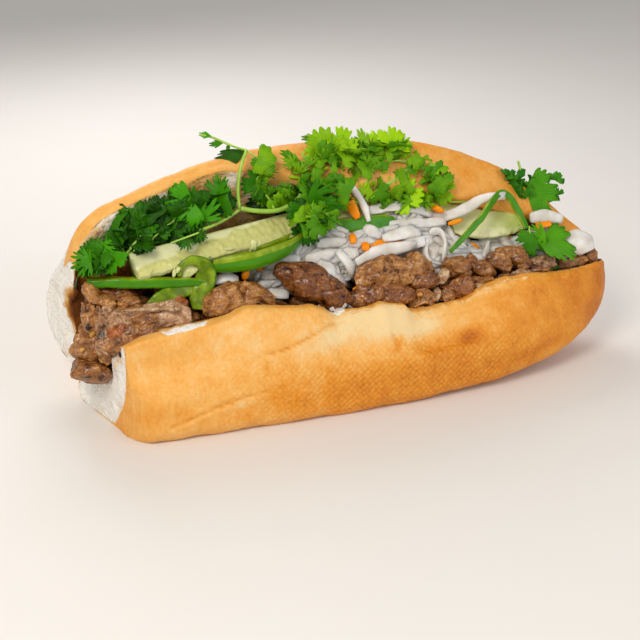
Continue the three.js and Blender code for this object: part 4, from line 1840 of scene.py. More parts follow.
    def scraps(self) -> None:
        """Models and dresses small torn bits of pork all over the bed."""
        shape, tones = self.balls[4], [tone.number for tone in self.scrap_tones]
        batch = Batch()
        places, normals = Ground(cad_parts["pork_filling"]).scattered(
            self.scrap_count, self.rng, lambda _, directions: directions[:, 2] > 0.15)
        for place, normal in zip(places, normals):
            size = tuple(self.rng.uniform(low, high) for low, high in self.scrap_sizes)
            points, dent = self.shaped(shape.points, size, 0.7, 0.8)
            turn = self.rng.normal(0, 0.6)
            along = laid([math.cos(turn), math.sin(turn), 0.0], normal)
            axes = np.stack([along, np.cross(normal, along), normal])
            tone = int(self.rng.choice(tones))
            batch.add(shape, place + normal * 0.5 + points @ axes, dent=dent, tone=tone)
        self.finished(batch.build("pork_scraps"))


# ---- Cucumber -----------------------------------------------------------------------------


@dataclass(frozen=True)
class Spear:
    """A lengthwise cut of cucumber.

    Attributes:
        start: the middle of its face at the left end, in mm.
        end: the same at the right end.
        width: across the cut face, in mm.
        height: from the face to the skin, in mm.
        roll_deg: how far the face leans up from level.
        seedy: the share of the face that is seedy, at the left and at the right end.
        seed: picks its pattern.
        levels: how finely its length is divided.
        pointed: whether it narrows towards its ends.
    """

    start: Place
    end: Place
    width: float
    height: float
    roll_deg: float
    seedy: Spot
    seed: int
    levels: int = 170
    pointed: bool = False


@dataclass
class Cucumber:
    """Two long spears and a shorter wedge."""

    face_steps: int = 30
    back_steps: int = 34
    # The seeds' spacing along, across and away from the face.
    seed_mm: Place = (2.1, 3.6, 9.0)
    # The rounded ends: how wide each ring is and how far it stands past the face's end.
    end_widths: tuple[float, ...] = (0.02, 0.4, 0.75, 0.93)
    end_reaches: tuple[float, ...] = (0.7, 0.65, 0.5, 0.25)
    spears: dict[str, Spear] = field(default_factory=lambda: {
        "cucumber_spear": Spear((2.5, 29, 65.6), (75.5, 40, 71.4), 12.4, 8.5, 33, (0.3, 1.15), 61),
        "cucumber_spear_far": Spear((84, 43.2, 74.2), (151, 46.5, 69), 8.5, 6.5, 30, (0.8, 1.0), 62),
        "cucumber_wedge": Spear(
            (147.4, 42.6, 61.6), (181.6, 42.2, 60.4), 16.5, 7.0, 42, (0.2, 0.3), 63, 90, True),
    })

    def build(self) -> None:
        """Models and dresses the cuts."""
        look = CucumberFinish().build()
        sides = self.face_steps + self.back_steps
        for node, spear in self.spears.items():
            rings, cores = self.rings(spear)
            stick = rod(sides, len(rings))
            at = rod_places(stick, sides, len(rings))
            batch = Batch()
            batch.add(stick, rings[at], core=cores[at])
            dress(batch.build(node + "_cut"), [look], "cucumber", node)

    def section(self, spear: Spear) -> tuple[Points, Points]:
        """The outline across a spear: the cut face, then the rounded back.

        Args:
            spear: the cut.

        Returns:
            The outline as (across, up) in mm, and how near each point is to the seeds.
        """
        w, h = spear.width / 2, spear.height
        across = np.linspace(-w, w, self.face_steps, endpoint=False)
        face = np.stack([across, -0.5 * (np.abs(across) / w) ** 6], -1)
        half = [(0.3 * w, -h, 0), (0.72 * w, -0.8 * h, 0), (w, -0.35 * h, 0), (w, -0.3, 0)]
        back = np.array([*half[::-1], *[(-x, y, z) for x, y, z in half]])
        outline = np.vstack([face, spline(back, self.back_steps + 2)[1:-1, :2]])
        under = np.linspace(0, 1, self.back_steps)
        core = 0.14 * (1 - ease(under, 0, 0.1)) + 0.9 * ease(under, 0.8, 1)
        return outline, np.concatenate([np.zeros(self.face_steps), core])

    def rings(self, spear: Spear) -> tuple[Points, Points]:
        """Every ring of a spear, with rounded ends.

        Args:
            spear: the cut.

        Returns:
            The rings in mm and their marks.
        """
        start, end = np.array(spear.start, float), np.array(spear.end, float)
        ahead = unit(end - start)
        lean = math.radians(spear.roll_deg)
        up = unit(np.cross(ahead, [0, math.cos(lean), math.sin(lean)]))
        wide = unit(np.cross(up, ahead))
        outline, core = self.section(spear)
        widths, reaches = np.array(self.end_widths), np.array(self.end_reaches)
        t = np.linspace(0, 1, spear.levels)
        place = np.concatenate([0 * widths, t, 0 * widths + 1])
        shrink = np.concatenate([widths, 0 * t + 1, widths[::-1]])
        bulge = np.concatenate([-reaches, 0 * t, reaches[::-1]])
        if spear.pointed:
            shrink = shrink * (0.35 + 0.65 * np.sin(np.clip(place, 0.02, 0.98) * math.pi) ** 0.5)
        middle = np.array([0, -0.45 * spear.height])
        flat = middle + (outline - middle)[None] * shrink[:, None, None]
        distance = place * np.linalg.norm(end - start)
        along, across = np.broadcast_arrays(distance[:, None], outline[None, :, 0] / spear.width + 0.5)
        share = spear.seedy[0] + (spear.seedy[1] - spear.seedy[0]) * place[:, None]
        wander = 0.1 * noise(on_axis(distance), 5, spear.seed, 2)[:, None]
        on_face = (np.arange(len(outline)) < self.face_steps)[None]
        seedy = (1 - ease(across + wander, share - 0.12, share + 0.12)) * on_face
        rim = 0.16 + 0.5 * ease(across, 1.0, 0.8)
        marks = np.where(on_face, np.maximum(rim, seedy), core[None])
        if spear.pointed:
            marks = marks * (0.5 - 0.34 * ease(place, 0.35, 1))[:, None]
        spot = np.stack([along, across * spear.width, 0 * across], -1)
        near, _ = cells(spot / self.seed_mm + 40, spear.seed)
        seeds = 1 - 2 * np.clip(near, 0, 1)
        grain = noise(spot, 3.0, spear.seed + 5)
        raised = seedy * (0.45 * seeds + 0.2 * grain) + 0.1 * grain
        front = ease(-across, -0.1, 0.0) * shrink[:, None]
        ragged = front * (0.5 * seeds + 0.9 * grain) * (0.4 + seedy)
        rings = (start + ahead * (distance + bulge)[:, None])[:, None]
        rings = rings + wide * (flat[..., 0] + ragged)[..., None]
        return rings + up * (flat[..., 1] + raised * shrink[:, None])[..., None], np.clip(marks, 0, 1)


# ---- Chilli -------------------------------------------------------------------------------


@dataclass(frozen=True)
class ChilliCut:
    """A slice of chilli.

    Attributes:
        path: where it runs, in mm or as points of the camera's view with depths.
        across: how its side leans.
        width: its width in mm.
        thickness: its thickness in mm.
        taper: its width at both ends, against the full width.
        shares: its width along its length, against the full width.
    """

    path: tuple[Place, ...]
    across: Place
    width: float
    thickness: float
    taper: Spot = (0.4, 0.4)
    shares: tuple[float, ...] = (1.0, 1.0)

    def out_of_view(self) -> "ChilliCut":
        """The same cut with its path turned from points of the view into mm."""
        return replace(self, path=tuple(tuple(VIEW.at_depth(*point)) for point in self.path))


@dataclass
class Chilli:
    """Slices of green chilli: strips with skin on one face, a half ring and a curled slice."""

    levels: int = 60
    sides: int = 24
    # The half ring's arc in degrees, and how thick its wall is against its radius.
    arc_deg: Spot = (12, -192)
    wall: float = 0.26
    rim_steps: float = 2.2
    pale: ChilliFinish = ChilliFinish("sliced_pale_chilli", "3A7204", "5E8E0C", "5A7604", "8AA420", 0.22, 0.9)
    strips: dict[str, ChilliCut] = field(default_factory=lambda: {
        "chilli_slice_low": ChilliCut(
            ((-16.5, 32, 59.2), (-3, 28.6, 58.6), (12, 26.0, 57.4), (32, 24, 55.4)), (0, 0.1, 1), 4.0, 4.6,
            (0.8, 0.06)),
        "chilli_strip_right": ChilliCut(
            ((138.6, 26, 55), (154.6, 32.6, 65), (169, 41, 73.6), (174.6, 36, 66.4), (178, 32.6, 58.6)),
            (0.2, 0.5, 0.84), 2.8, 2.2, (0.5, 0.6)),
        "chilli_strip_mid": ChilliCut(
            ((88, 38.6, 68.4), (106, 38.2, 67.6), (124, 41.4, 65)), (0, 0.4, 0.92), 6.2, 2.4, (0.7, 0.15)),
    })
    half_ring: ChilliCut = ChilliCut(
        ((214, 262, 26.5), (232, 258.5, 24.5), (252, 254, 24), (271, 247.5, 26), (288, 240, 30),
        (299, 233, 34)), (0, 0.3, 0.95), 13.0, 13.0, (0.6, 0.4))
    curl: tuple[ChilliCut, ...] = (
        ChilliCut(((178.5, 277, 26.5), (181, 267, 27), (189, 260.8, 27.5), (200, 261.5, 27),
            (206.5, 269, 26), (205.5, 280, 25), (201, 291, 23.5), (198.5, 301, 22), (198, 310, 20.5)),
            (0.3, 0.85, -0.42), 3.4, 9.4, (0.6, 0.7), (0.25, 0.3, 0.38, 0.5, 0.76, 0.9, 1.0, 0.93, 0.65)),
        ChilliCut(((148, 303, 22.5), (157, 299, 22.8), (168, 295.5, 23.3), (180, 292, 23.8),
            (191, 291, 24)), (0.3, 0.85, -0.42), 2.4, 6.6, (0.5, 0.8), (0.3, 0.75, 1.0, 0.85, 0.7)),
    )

    def build(self) -> None:
        """Models and dresses the slices."""
        look, pale = ChilliFinish().build(), self.pale.build()
        stick = rod(self.sides, self.levels, 0.9)
        for node, cut in self.strips.items():
            self.piece(node, stick, look, cut)
        batch = Batch()
        self.add_half_ring(batch, self.half_ring.out_of_view())
        dress(batch.build("chilli_half_ring_sliced"), [look], "green_chilli", "chilli_half_ring")
        self.piece("chilli_curl", stick, pale, *[cut.out_of_view() for cut in self.curl])

    def piece(self, node: str, stick: Shape, look: Material, *cuts: ChilliCut) -> None:
        """Models and dresses a piece made of strips.

        Args:
            node: the solid that it stands for.
            stick: the rod that its strips are made from.
            look: its material.
            *cuts: the strips.
        """
        batch = Batch()
        for cut in cuts:
            self.add_strip(batch, stick, cut)
        dress(batch.build(node + "_sliced"), [look], "green_chilli", node)

    def narrowing(self, cut: ChilliCut) -> Points:
        """How wide a slice is along its length.

        Args:
            cut: the slice.

        Returns:
            The share of its full width at each level.
        """
        t = np.linspace(0, 1, self.levels)
        ends = cut.taper[0] + (cut.taper[1] - cut.taper[0]) * t
        whole = ends + (1 - ends) * np.sin(np.clip(t, 0.005, 0.995) * math.pi) ** 0.6
        return whole * np.interp(t, np.linspace(0, 1, len(cut.shares)), cut.shares)

    def add_strip(self, batch: Batch, stick: Shape, cut: ChilliCut) -> None:
        """Adds a strip whose outer face is skin and whose other faces are cut flesh.

        Args:
            batch: where to add it.
            stick: the rod that it is made from.
            cut: the strip.
        """
        path = spline(np.array(cut.path), self.levels)
        path = path + 0.35 * noise(path, 12, 71, 2)[:, None]
        narrow = self.narrowing(cut)
        points = swept(stick, path, cut.across, cut.width * np.sqrt(narrow), cut.thickness * narrow)
        skin = ease(stick.points[:, 1], 0.0, 0.3) * (1 - ease(np.abs(stick.points[:, 0]), 0.4, 0.5))
        batch.add(stick, points + 0.22 * wobble(points, 3.2, 72), cut=1 - skin)

    def add_half_ring(self, batch: Batch, cut: ChilliCut) -> None:
        """Adds the half of a hollow chilli, open upwards, dark inside its hollow as painted shade.

        Args:
            batch: where to add it.
            cut: the half ring.
        """
        half, count = self.sides, 2 * self.sides
        stick = rod(count, self.levels)
        at = rod_places(stick, count, self.levels)
        path = spline(np.array(cut.path), self.levels)
        up, out = beside_path(path, np.array(cut.across))
        t = np.linspace(0, 1, self.levels)
        wall = np.maximum(1 - self.wall + 0.1 * hump(t, 0.0, 0.2), 0.98 * ease(t, 0.8, 0.97))
        arc = np.linspace(*np.radians(self.arc_deg), half)
        angle = np.concatenate([arc, arc[::-1]])
        inside = np.arange(count) >= half
        radius = np.where(inside[None], wall[:, None], 1.0) * (cut.width / 2 * self.narrowing(cut))[:, None]
        ring = path[:, None] + out[:, None] * (np.cos(angle) * radius)[..., None] * 0.8
        ring = ring + up[:, None] * (np.sin(angle) * radius)[..., None]
        rim = np.abs(np.arange(count) % half - (half - 1) / 2) > (half - 1) / 2 - self.rim_steps
        # Inside the hollow the flesh takes nearly the skin's dark green: painted shade.
        batch.add(stick, ring[at], cut=np.where(rim, 1.0, np.where(inside, 0.15, 0.0))[at[1]])


# ---- Pickled daikon and carrot ------------------------------------------------------------


@dataclass(frozen=True)
class Shred:
    """A shred that shows.

    Attributes:
        route: points of the camera's view along it.
        width: its width in mm.
        thickness: its thickness in mm.
        lift: how far it lies above the heap, in mm.
        depth: its depth in mm where it isn't on the heap.
    """

    route: tuple[Spot, ...]
    width: float = 4.0
    thickness: float = 3.0
    lift: float = 1.0
    depth: float = 38.0


@dataclass
class Pickles:
    """The heap of daikon and carrot shreds, and the loose ones about it."""

    white: PickleFinish = PickleFinish(
        "pickled_daikon", "EEEBE5", "D6CEC2", Surface(0.3, 0.3, 0.7, (1.0, 0.95, 0.88), 3, 0.25))
    orange: PickleFinish = PickleFinish(
        "pickled_carrot", "FF9C00", "FF8600", Surface(0.3, 0.3, 0.15, (1.0, 0.4, 0.05), 3, 0.25))
    levels: int = 14
    core_depth: float = 0.9
    # How much wider and flatter the shreds that show are made.
    widen: float = 1.22
    flatten: float = 0.72
    # How many more shreds fill the heap, how long they are and how wide.
    daikon_fill: tuple[int, Spot, float] = (150, (12, 26), 3.9)
    carrot_fill: tuple[int, Spot, float] = (10, (5, 12), 2.4)
    rng: np.random.Generator = field(default_factory=lambda: np.random.default_rng(81))
    daikon: tuple[Shred, ...] = (
        Shred(((316, 245), (330, 243.5), (346, 243)), 4.2),
        Shred(((305, 261), (330, 257), (357, 252)), 5.4, 4.0),
        Shred(((318, 262), (334, 272), (352, 287)), 4.6, 3.6, 2.2),
        Shred(((337, 251), (347, 265), (356, 281)), 4.4, 3.4, 2.4),
        Shred(((250, 276.5), (266, 275.5), (283, 275)), 4.6, depth=27),
        Shred(((256, 289), (272, 291), (289, 294.5)), 4.6, depth=26),
        Shred(((268, 269), (284, 263), (299, 258)), 4.0),
        Shred(((213, 282), (226, 277.5), (238, 279)), 4.0, 3.0, 1.0, 27),
        Shred(((303, 245), (320, 233), (337, 225)), 3.8, 2.0, 2.0),
        Shred(((328, 234), (344, 238.5)), 3.6),
        Shred(((358, 230), (368, 232), (380, 236.5)), 4.2),
        Shred(((381, 240), (408, 233), (437, 227)), 4.6, 3.0, 1.6),
        Shred(((355, 263), (374, 253), (396, 249), (416, 245)), 4.2, 3.0, 1.6),
        Shred(((394, 248), (412, 244), (430, 240)), 4.0),
        Shred(((424, 240), (425.5, 250), (431, 259), (439, 264)), 3.4, 2.4, 1.6),
        Shred(((427, 233), (437, 236), (442, 246), (439.5, 262)), 3.8, 2.4, 2.4),
        Shred(((366, 211), (394, 206), (415, 208.5), (432, 214)), 4.2, 2.6, 1.0, 41),
        Shred(((401, 218.5), (430, 219), (450, 215), (470, 206), (484, 198), (505, 195.5)), 4.4, 2.8, 1.0,
            40),
        Shred(((383, 226), (412, 225), (445, 221)), 4.0),
        Shred(((352, 250), (372, 246), (392, 240)), 4.0, 3.0, 0.0),
        Shred(((300, 270), (318, 272), (338, 268)), 4.4),
        Shred(((481, 240), (486, 248), (484, 259)), 4.8, 3.6, 1.0, 34),
        Shred(((497, 238), (506, 244), (515, 252)), 4.6, 3.0, 1.0, 34),
        Shred(((530, 218), (545, 216), (562, 219)), 4.4, 3.0, 1.0, 40),
        Shred(((520, 250), (532, 256), (545, 254)), 4.0, 3.0, 1.0, 33),
    )
    carrot: tuple[Shred, ...] = (
        Shred(((348, 241), (354, 241)), 3.6, 3.4, 2.6),
        Shred(((360, 247), (367, 248)), 3.8, 3.2, 2.4),
        Shred(((370, 246), (385, 243.5), (402, 242)), 3.0, 2.6, 2.8),
        Shred(((434, 207), (442, 212)), 4.0, 3.4, 2.6, 39),
        Shred(((246, 271), (245, 279)), 2.8, 2.4, 1.0, 27),
        Shred(((257, 270.5), (264, 269)), 2.0, 2.0, 1.0, 27),
        Shred(((326, 271), (334, 269)), 2.4, 2.0, 2.2),
        Shred(((353, 290), (366, 287)), 2.0, 2.0, 2.0, 26),
        Shred(((448, 224), (462, 220)), 1.6, 1.6, 1.5),
        Shred(((536, 226), (551, 223.5)), 3.0, 2.6, 1.0, 38),
        Shred(((517, 237), (523, 232)), 2.0, 2.0, 1.0, 40),
        Shred(((503, 241), (511, 238)), 1.8, 1.8, 1.0, 38),
        Shred(((521, 193), (525, 188)), 1.6, 1.6, 1.0, 46),
    )
    # Single shreds with solids of their own: path, width and thickness in mm.
    singles: dict[str, tuple[tuple[Place, ...], float, float]] = field(default_factory=lambda: {
        "daikon_strip_leaning": (
            ((98.0, 45.4, 84.6), (101, 42.6, 80.6), (103.8, 39.6, 75), (105, 37, 69)), 4.6, 3.2),
        "carrot_strip_leaning": (((96, 41.4, 80.4), (97.6, 39.6, 76.6), (100, 36.8, 71)), 4.6, 2.6),
        "carrot_strip_lying": (((103.5, 32, 59.6), (112, 32.6, 58.9), (121.5, 34, 58.8)), 3.8, 2.8),
        "daikon_piece_end": (((196.5, 32.4, 47.6), (203, 32, 49.2), (211, 31.4, 48.4)), 10.5, 5.0),
    })

    def build(self) -> None:
        """Models and dresses the pickles."""
        looks = {"daikon": [self.white.build()], "carrot": [self.orange.build()]}
        self.stick = rod(12, self.levels, 0.5)
        self.ground = Ground(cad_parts["daikon_heap"])
        heap, bits = Batch(), Batch()
        self.add_core(heap)
        self.add_shreds(heap, self.daikon, *self.daikon_fill)
        self.add_shreds(bits, self.carrot, *self.carrot_fill)
        dress(heap.build("daikon_heap_shredded"), looks["daikon"], "daikon", "daikon_heap")
        dress(bits.build("carrot_bits"), looks["carrot"], "carrot")
        for node, (path, width, thickness) in self.singles.items():
            batch = Batch()
            self.add_stick(batch, path, width, thickness)
            slot = node.split("_")[0]
            dress(batch.build(node + "_cut"), looks[slot], slot, node)

    def add_stick(self, batch: Batch, knots: list[Points] | tuple[Place, ...], width: float,
                  thickness: float) -> None:
        """Adds one shred, a little uneven and blunt at its ends.

        Args:
            batch: where to add it.
            knots: points along it in mm.
            width: its width in mm.
            thickness: its thickness in mm.
        """
        path = spline(np.array(knots), self.levels)
        t = np.linspace(0, 1, self.levels)
        narrow = 0.5 + 0.5 * np.sin(np.clip(t, 0.02, 0.98) * math.pi) ** 0.4
        narrow = narrow * (1 + 0.22 * noise(path, 5, int(self.rng.integers(1, 900)), 2))
        lean = unit(np.array([0.0, 0.5, 0.8]) + self.rng.normal(0, 0.35, 3))
        batch.add(self.stick, swept(self.stick, path, lean, width * narrow, thickness * narrow))

    def add_shreds(self, batch: Batch, shreds: tuple[Shred, ...], count: int, lengths: Spot,
                   width: float) -> None:
        """Adds the shreds that show and more all over the heap, mostly lying along the roll.

        Args:
            batch: where to add them.
            shreds: those that show.
            count: how many more there are.
            lengths: the shortest and the longest of those in mm.
            width: their width in mm.
        """
        for shred in shreds:
            spots = []
            for px, py in shred.route:
                spot, normal = VIEW.landing(px, py, self.ground) or (VIEW.at_depth(px, py, shred.depth), 0.0)
                spots.append(spot + normal * shred.lift)
            self.add_stick(batch, spots, shred.width * self.widen, shred.thickness * self.flatten)
        places, normals = self.ground.scattered(
            count, self.rng, lambda _, directions: directions[:, 2] > -0.3)
        for place, normal in zip(places, normals):
            turn = self.rng.normal(0, 0.45)
            along = laid([math.cos(turn), math.sin(turn), 0.25], normal)
            length = self.rng.uniform(*lengths)
            bow = self.rng.normal(0, 0.08) * np.cross(along, normal)
            lift = self.rng.uniform(-1.4, 0.4)
            spots = []
            for s in (-0.5, -0.25, 0, 0.25, 0.5):
                near, out = self.ground.nearest(place + along * s * length + bow * length * (1 - 4 * s * s))
                spots.append(near + out * lift)
            size = width * self.rng.uniform(0.75, 1.15)
            self.add_stick(batch, spots, size, size * self.rng.uniform(0.6, 0.85))

    def add_core(self, batch: Batch) -> None:
        """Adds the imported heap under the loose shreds, a little smaller than its solid.

        Args:
            batch: where to add it.
        """
        core = solid_copy("daikon_heap", "heap_core", 1.4, 4)
        points = to_mm(read_points(core)) - read_normals(core) * self.core_depth
        batch.add(Shape.taken_from(core), points)


# ---- Coriander ----------------------------------------------------------------------------


@dataclass(frozen=True)
class LeafCut:
    """The outline of a leaf about its stalk's end.

    Attributes:
        half_angle: how far it spreads to either side, in degrees.
        narrow: how much shorter it is at its sides than at its tip.
        clefts: where the deep cuts are, from -1 to 1.
        cleft: how deep they are.
        teeth: how many teeth its edge has.
        tooth: how deep those are.
    """

    half_angle: float
    narrow: float
    clefts: tuple[float, ...]
    cleft: float
    teeth: int
    tooth: float

    def reach(self, t: Points) -> Points:
        """Distance from the stalk to the edge.

        Args:
            t: places across the leaf, from -1 at one side to 1 at the other.

        Returns:
            The distances, 1 at the tip.
        """
        edge = 1 - self.narrow * t**2
        for place in self.clefts:
            edge = edge * (1 - self.cleft * hump(t, place, 0.06))
        return edge * (1 - self.tooth * (1 - np.abs(np.sin(math.pi * self.teeth * (t + 1) / 2))) ** 1.3)


class LeafKind(Enum):
    """The shapes of coriander leaflets."""

    FAN = LeafCut(98, 0.26, (-0.38, 0.38), 0.46, 12, 0.22)
    FINE = LeafCut(84, 0.32, (-0.66, -0.24, 0.24, 0.66), 0.6, 11, 0.36)
    LONG = LeafCut(32, 0.55, (-0.5, 0.5), 0.4, 6, 0.26)
    ROUND = LeafCut(100, 0.2, (-0.45, 0.4), 0.26, 14, 0.14)
    TRIO = LeafCut(66, 0.2, (-0.36, 0.36), 0.34, 11, 0.13)


@dataclass(frozen=True)
class Leaf:
    """A leaf that shows.

    Attributes:
        px, py: its middle in the camera's view.
        depth: its depth in mm.
        size: its length in mm.
        heading: the way that it points in the view, in degrees.
        kind: its shape.
        tint: how light it looks, from 0 in painted shade to 1 in painted light.
        lean: how far it faces up.
    """

    px: float
    py: float
    depth: float
    size: float
    heading: float
    kind: LeafKind = LeafKind.FAN
    tint: float = 0.5
    lean: float = 0.0


@dataclass(frozen=True)
class Stem:
    """A stem that shows: points of the view with depths along it, and its width in mm."""

    route: tuple[Place, ...]
    width: float = 1.2


FAN, FINE, LONG, ROUND, TRIO = LeafKind


@dataclass
class Coriander:
    """The sprigs of coriander along the roll, leaf by leaf."""

    thickness: float = 0.03
    lean_deg: float = 26.0
    # How finely the leaves that show and the others are divided, along their edge and inwards.
    steps_shown: tuple[int, int] = (44, 4)
    steps_filling: tuple[int, int] = (22, 2)
    # The others: one for each so many square mm, how long against the longest, and how often
    # each kind comes.
    fill_area: float = 42.0
    fill_lengths: Spot = (0.625, 1)
    fill_kinds: tuple[float, ...] = (0.35, 0.35, 0.1, 0.1, 0.1)
    stem_sides: int = 7
    stem_levels: int = 16
    stem: PlainFinish = PlainFinish("coriander_stem", "8DBF35", "B3D65C", 0.32, 4.0, 0.2)
    rng: np.random.Generator = field(default_factory=lambda: np.random.default_rng(91))
    left: tuple[Leaf, ...] = (
        Leaf(80, 264, 29, 9, 200, FINE, 0.7), Leaf(87, 254, 33, 8.5, 150),
        Leaf(104.6, 252, 31, 7.5, 300, FINE, 1.0), Leaf(107, 262, 29, 10, 250, ROUND, 0.8, 0.4),
        Leaf(112, 242, 36, 9, 160), Leaf(95, 258, 31, 9, 225), Leaf(126, 224, 40, 15, 150, FAN, 0.3),
        Leaf(141, 217, 41, 11, 60, FAN, 0.6), Leaf(114, 218, 42, 7.5, 150),
        Leaf(172, 198, 44, 12, 80, FINE, 0.3), Leaf(161, 206, 43, 10, 110, FINE, 0.2),
        Leaf(152, 213, 42, 8, 120), Leaf(180, 208, 40, 12, 210, FAN, 1.0),
        Leaf(201, 206, 40, 13, 85, FINE, 0.8), Leaf(185, 222, 38, 10, 250, FINE, 0.5),
        Leaf(206, 217, 38, 8, 300, FINE, 0.6), Leaf(217, 184, 44, 9, 100, FINE, 0.7),
        Leaf(218, 200, 43, 10, 190), Leaf(149, 238, 38, 9, 20, FAN, 0.2),
        Leaf(168, 233, 38, 9, 10, FAN, 0.2), Leaf(136, 236, 38, 9, 230, FAN, 0.2),
        Leaf(203, 236, 30.5, 4.5, 330, FINE, 0.3), Leaf(184, 244, 28.5, 6, 240, FINE, 0.4),
        Leaf(190, 232, 37, 8, 200, FAN, 0.2), Leaf(123, 252, 36, 8, 230, FAN, 0.1),
        Leaf(159, 222, 40, 9, 60, FAN, 0.4), Leaf(133, 240, 37, 10, 245, LONG, 0.9),
        Leaf(146, 228, 39, 8, 240, LONG, 0.7), Leaf(100, 246, 34, 8, 110, FINE, 0.8),
        Leaf(84, 262, 31, 8, 170, FINE, 0.7), Leaf(94, 267, 29, 7, 215, FINE, 0.6),
        Leaf(119, 232, 40, 10, 190, FAN, 0.2), Leaf(132, 210, 42, 8, 100, FINE, 0.4),
        Leaf(151, 204, 43, 8, 70, FINE, 0.3), Leaf(193, 196, 42, 9, 70, FINE, 0.6),
        Leaf(170, 222, 40, 9, 200, FAN, 0.3), Leaf(197, 222, 39, 8, 20, FAN, 0.3),
        Leaf(112, 259, 32, 8, 300, FINE, 0.4), Leaf(143, 235, 38, 8, 300, FINE, 0.5),
        Leaf(156, 233, 38, 7, 270, FINE, 0.3), Leaf(175, 236, 37, 7, 200, FAN, 0.15),
        Leaf(168, 211, 42, 11, 170, FINE, 0.5),
    )
    sprig: tuple[Leaf, ...] = (
        Leaf(205, 135, 56, 5.5, 170, LONG, 0.9), Leaf(215.7, 144, 56, 6, 185, LONG, 0.6),
        Leaf(228, 147.5, 56, 3.5, 250, LONG, 0.5), Leaf(228, 158, 54, 17, 205, LONG, 0.3),
        Leaf(263, 159, 48, 8, 300, LONG, 0.3), Leaf(250, 185, 46, 8.5, 190, FAN, 0.5),
        Leaf(282, 178, 50, 9, 45, FAN, 0.3), Leaf(298, 184, 46, 13, 330, FINE, 0.7),
        Leaf(274, 189, 49, 16, 100, FAN, 0.1), Leaf(269, 200, 48, 10, 200, FAN, 0.1),
        Leaf(286, 198, 46, 11, 280, FAN, 0.1), Leaf(308, 222, 32, 12.5, 262, FAN, 0.5),
        Leaf(323, 201, 34, 14, 350, FINE, 0.6), Leaf(325, 216, 33, 10, 310, FAN, 0.7),
        Leaf(336, 206, 35, 8, 0, FINE, 0.6), Leaf(310, 206, 35, 12, 200, FAN, 0.3),
        Leaf(303, 210, 36, 7, 265, FAN, 0.2), Leaf(309, 236, 31, 9, 285, FAN, 0.35),
        Leaf(344, 200, 40, 8, 5, LONG, 0.3), Leaf(264, 180, 50, 8, 230, FINE, 0.3),
        Leaf(303, 172, 48, 9, 80, FINE, 0.8),
    )
    middle: tuple[Leaf, ...] = (
        Leaf(322, 141, 52, 12, 110, FAN, 0.6), Leaf(343, 136, 52, 9, 80, FAN, 0.8),
        Leaf(309, 138, 54, 7, 180, LONG, 0.2), Leaf(334, 146, 52, 8, 60, FINE, 0.6),
        Leaf(316, 152, 50, 8, 230, FAN, 0.5), Leaf(306, 164, 48, 12, 105, FINE, 0.8),
        Leaf(312, 177, 47, 8, 290, FINE, 0.5), Leaf(340, 168, 48, 11, 215, FAN, 0.4),
        Leaf(328, 166, 49, 8, 120, FAN, 0.4), Leaf(350, 158, 49, 7, 150, FINE, 0.9),
        Leaf(363, 138, 53, 10, 110, LONG, 0.5), Leaf(356, 145, 52, 7, 60, FINE, 0.6),
        Leaf(380, 141, 52, 12, 100, FAN, 1.0), Leaf(372, 152, 51, 8, 170, FINE, 0.8),
        Leaf(395, 137, 52, 10, 75, FAN, 1.0), Leaf(390, 153, 50, 9, 20, FAN, 0.9),
        Leaf(405, 152, 50, 10, 60, LONG, 0.8), Leaf(402, 143, 52, 8, 30, FINE, 0.7),
        Leaf(362, 172, 46, 11, 200, FINE, 1.0), Leaf(374, 168, 47, 8, 110, FINE, 0.8),
        Leaf(378, 180, 46, 7, 250, FINE, 0.7), Leaf(356, 182, 46, 8, 240, LONG, 0.7),
        Leaf(424, 166, 49, 10, 25, FAN, 0.4), Leaf(412, 162, 49, 7, 90, FINE, 0.6),
        Leaf(416, 179, 47, 9, 320, FINE, 0.9), Leaf(405, 172, 47, 7, 250, FAN, 0.5),
        Leaf(441, 178, 47, 9, 40, LONG, 0.8), Leaf(434, 187, 45, 8, 330, FINE, 0.6),
        Leaf(412, 197, 41, 11, 350, FAN, 1.0), Leaf(395, 192, 43, 9, 350, FAN, 0.4),
        Leaf(443, 195, 42, 9, 300, FAN, 0.5), Leaf(430, 199, 42, 7, 20, FINE, 0.6),
        Leaf(377, 193, 43, 8, 200, FAN, 0.3), Leaf(364, 190, 43, 6, 200, FAN, 0.6),
        Leaf(345, 198, 41, 8, 10, FAN, 0.2), Leaf(352, 201, 40, 6, 330, LONG, 0.6),
        Leaf(388, 182, 45, 7, 300, FINE, 0.2), Leaf(400, 184, 44, 8, 210, FAN, 0.3),
        Leaf(332, 152, 51, 7, 330, FINE, 0.3),
    )
    right: tuple[Leaf, ...] = (
        Leaf(508, 186, 50, 9, 190, FAN, 0.1), Leaf(504, 193, 48, 9, 190, FINE, 0.7),
        Leaf(542, 192.5, 46, 15.5, 0, TRIO, 0.45, 0.3), Leaf(530, 206, 46, 13, 350, FAN, 0.4),
        Leaf(527, 186, 51, 5, 80, FAN, 0.2), Leaf(540, 188, 50, 7, 20, FAN, 0.3),
        Leaf(517, 195, 49, 10, 230, FAN, 0.0), Leaf(520, 186, 50.5, 8, 40, FAN, 0.2),
        Leaf(558, 243, 26.5, 18, 350, TRIO, 0.6, 1.35), Leaf(536, 236, 29, 8.5, 190, FINE, 0.7),
        Leaf(530, 246, 29, 10, 250, FAN, 0.3), Leaf(553, 267, 24, 7, 45, FINE, 0.2),
    )
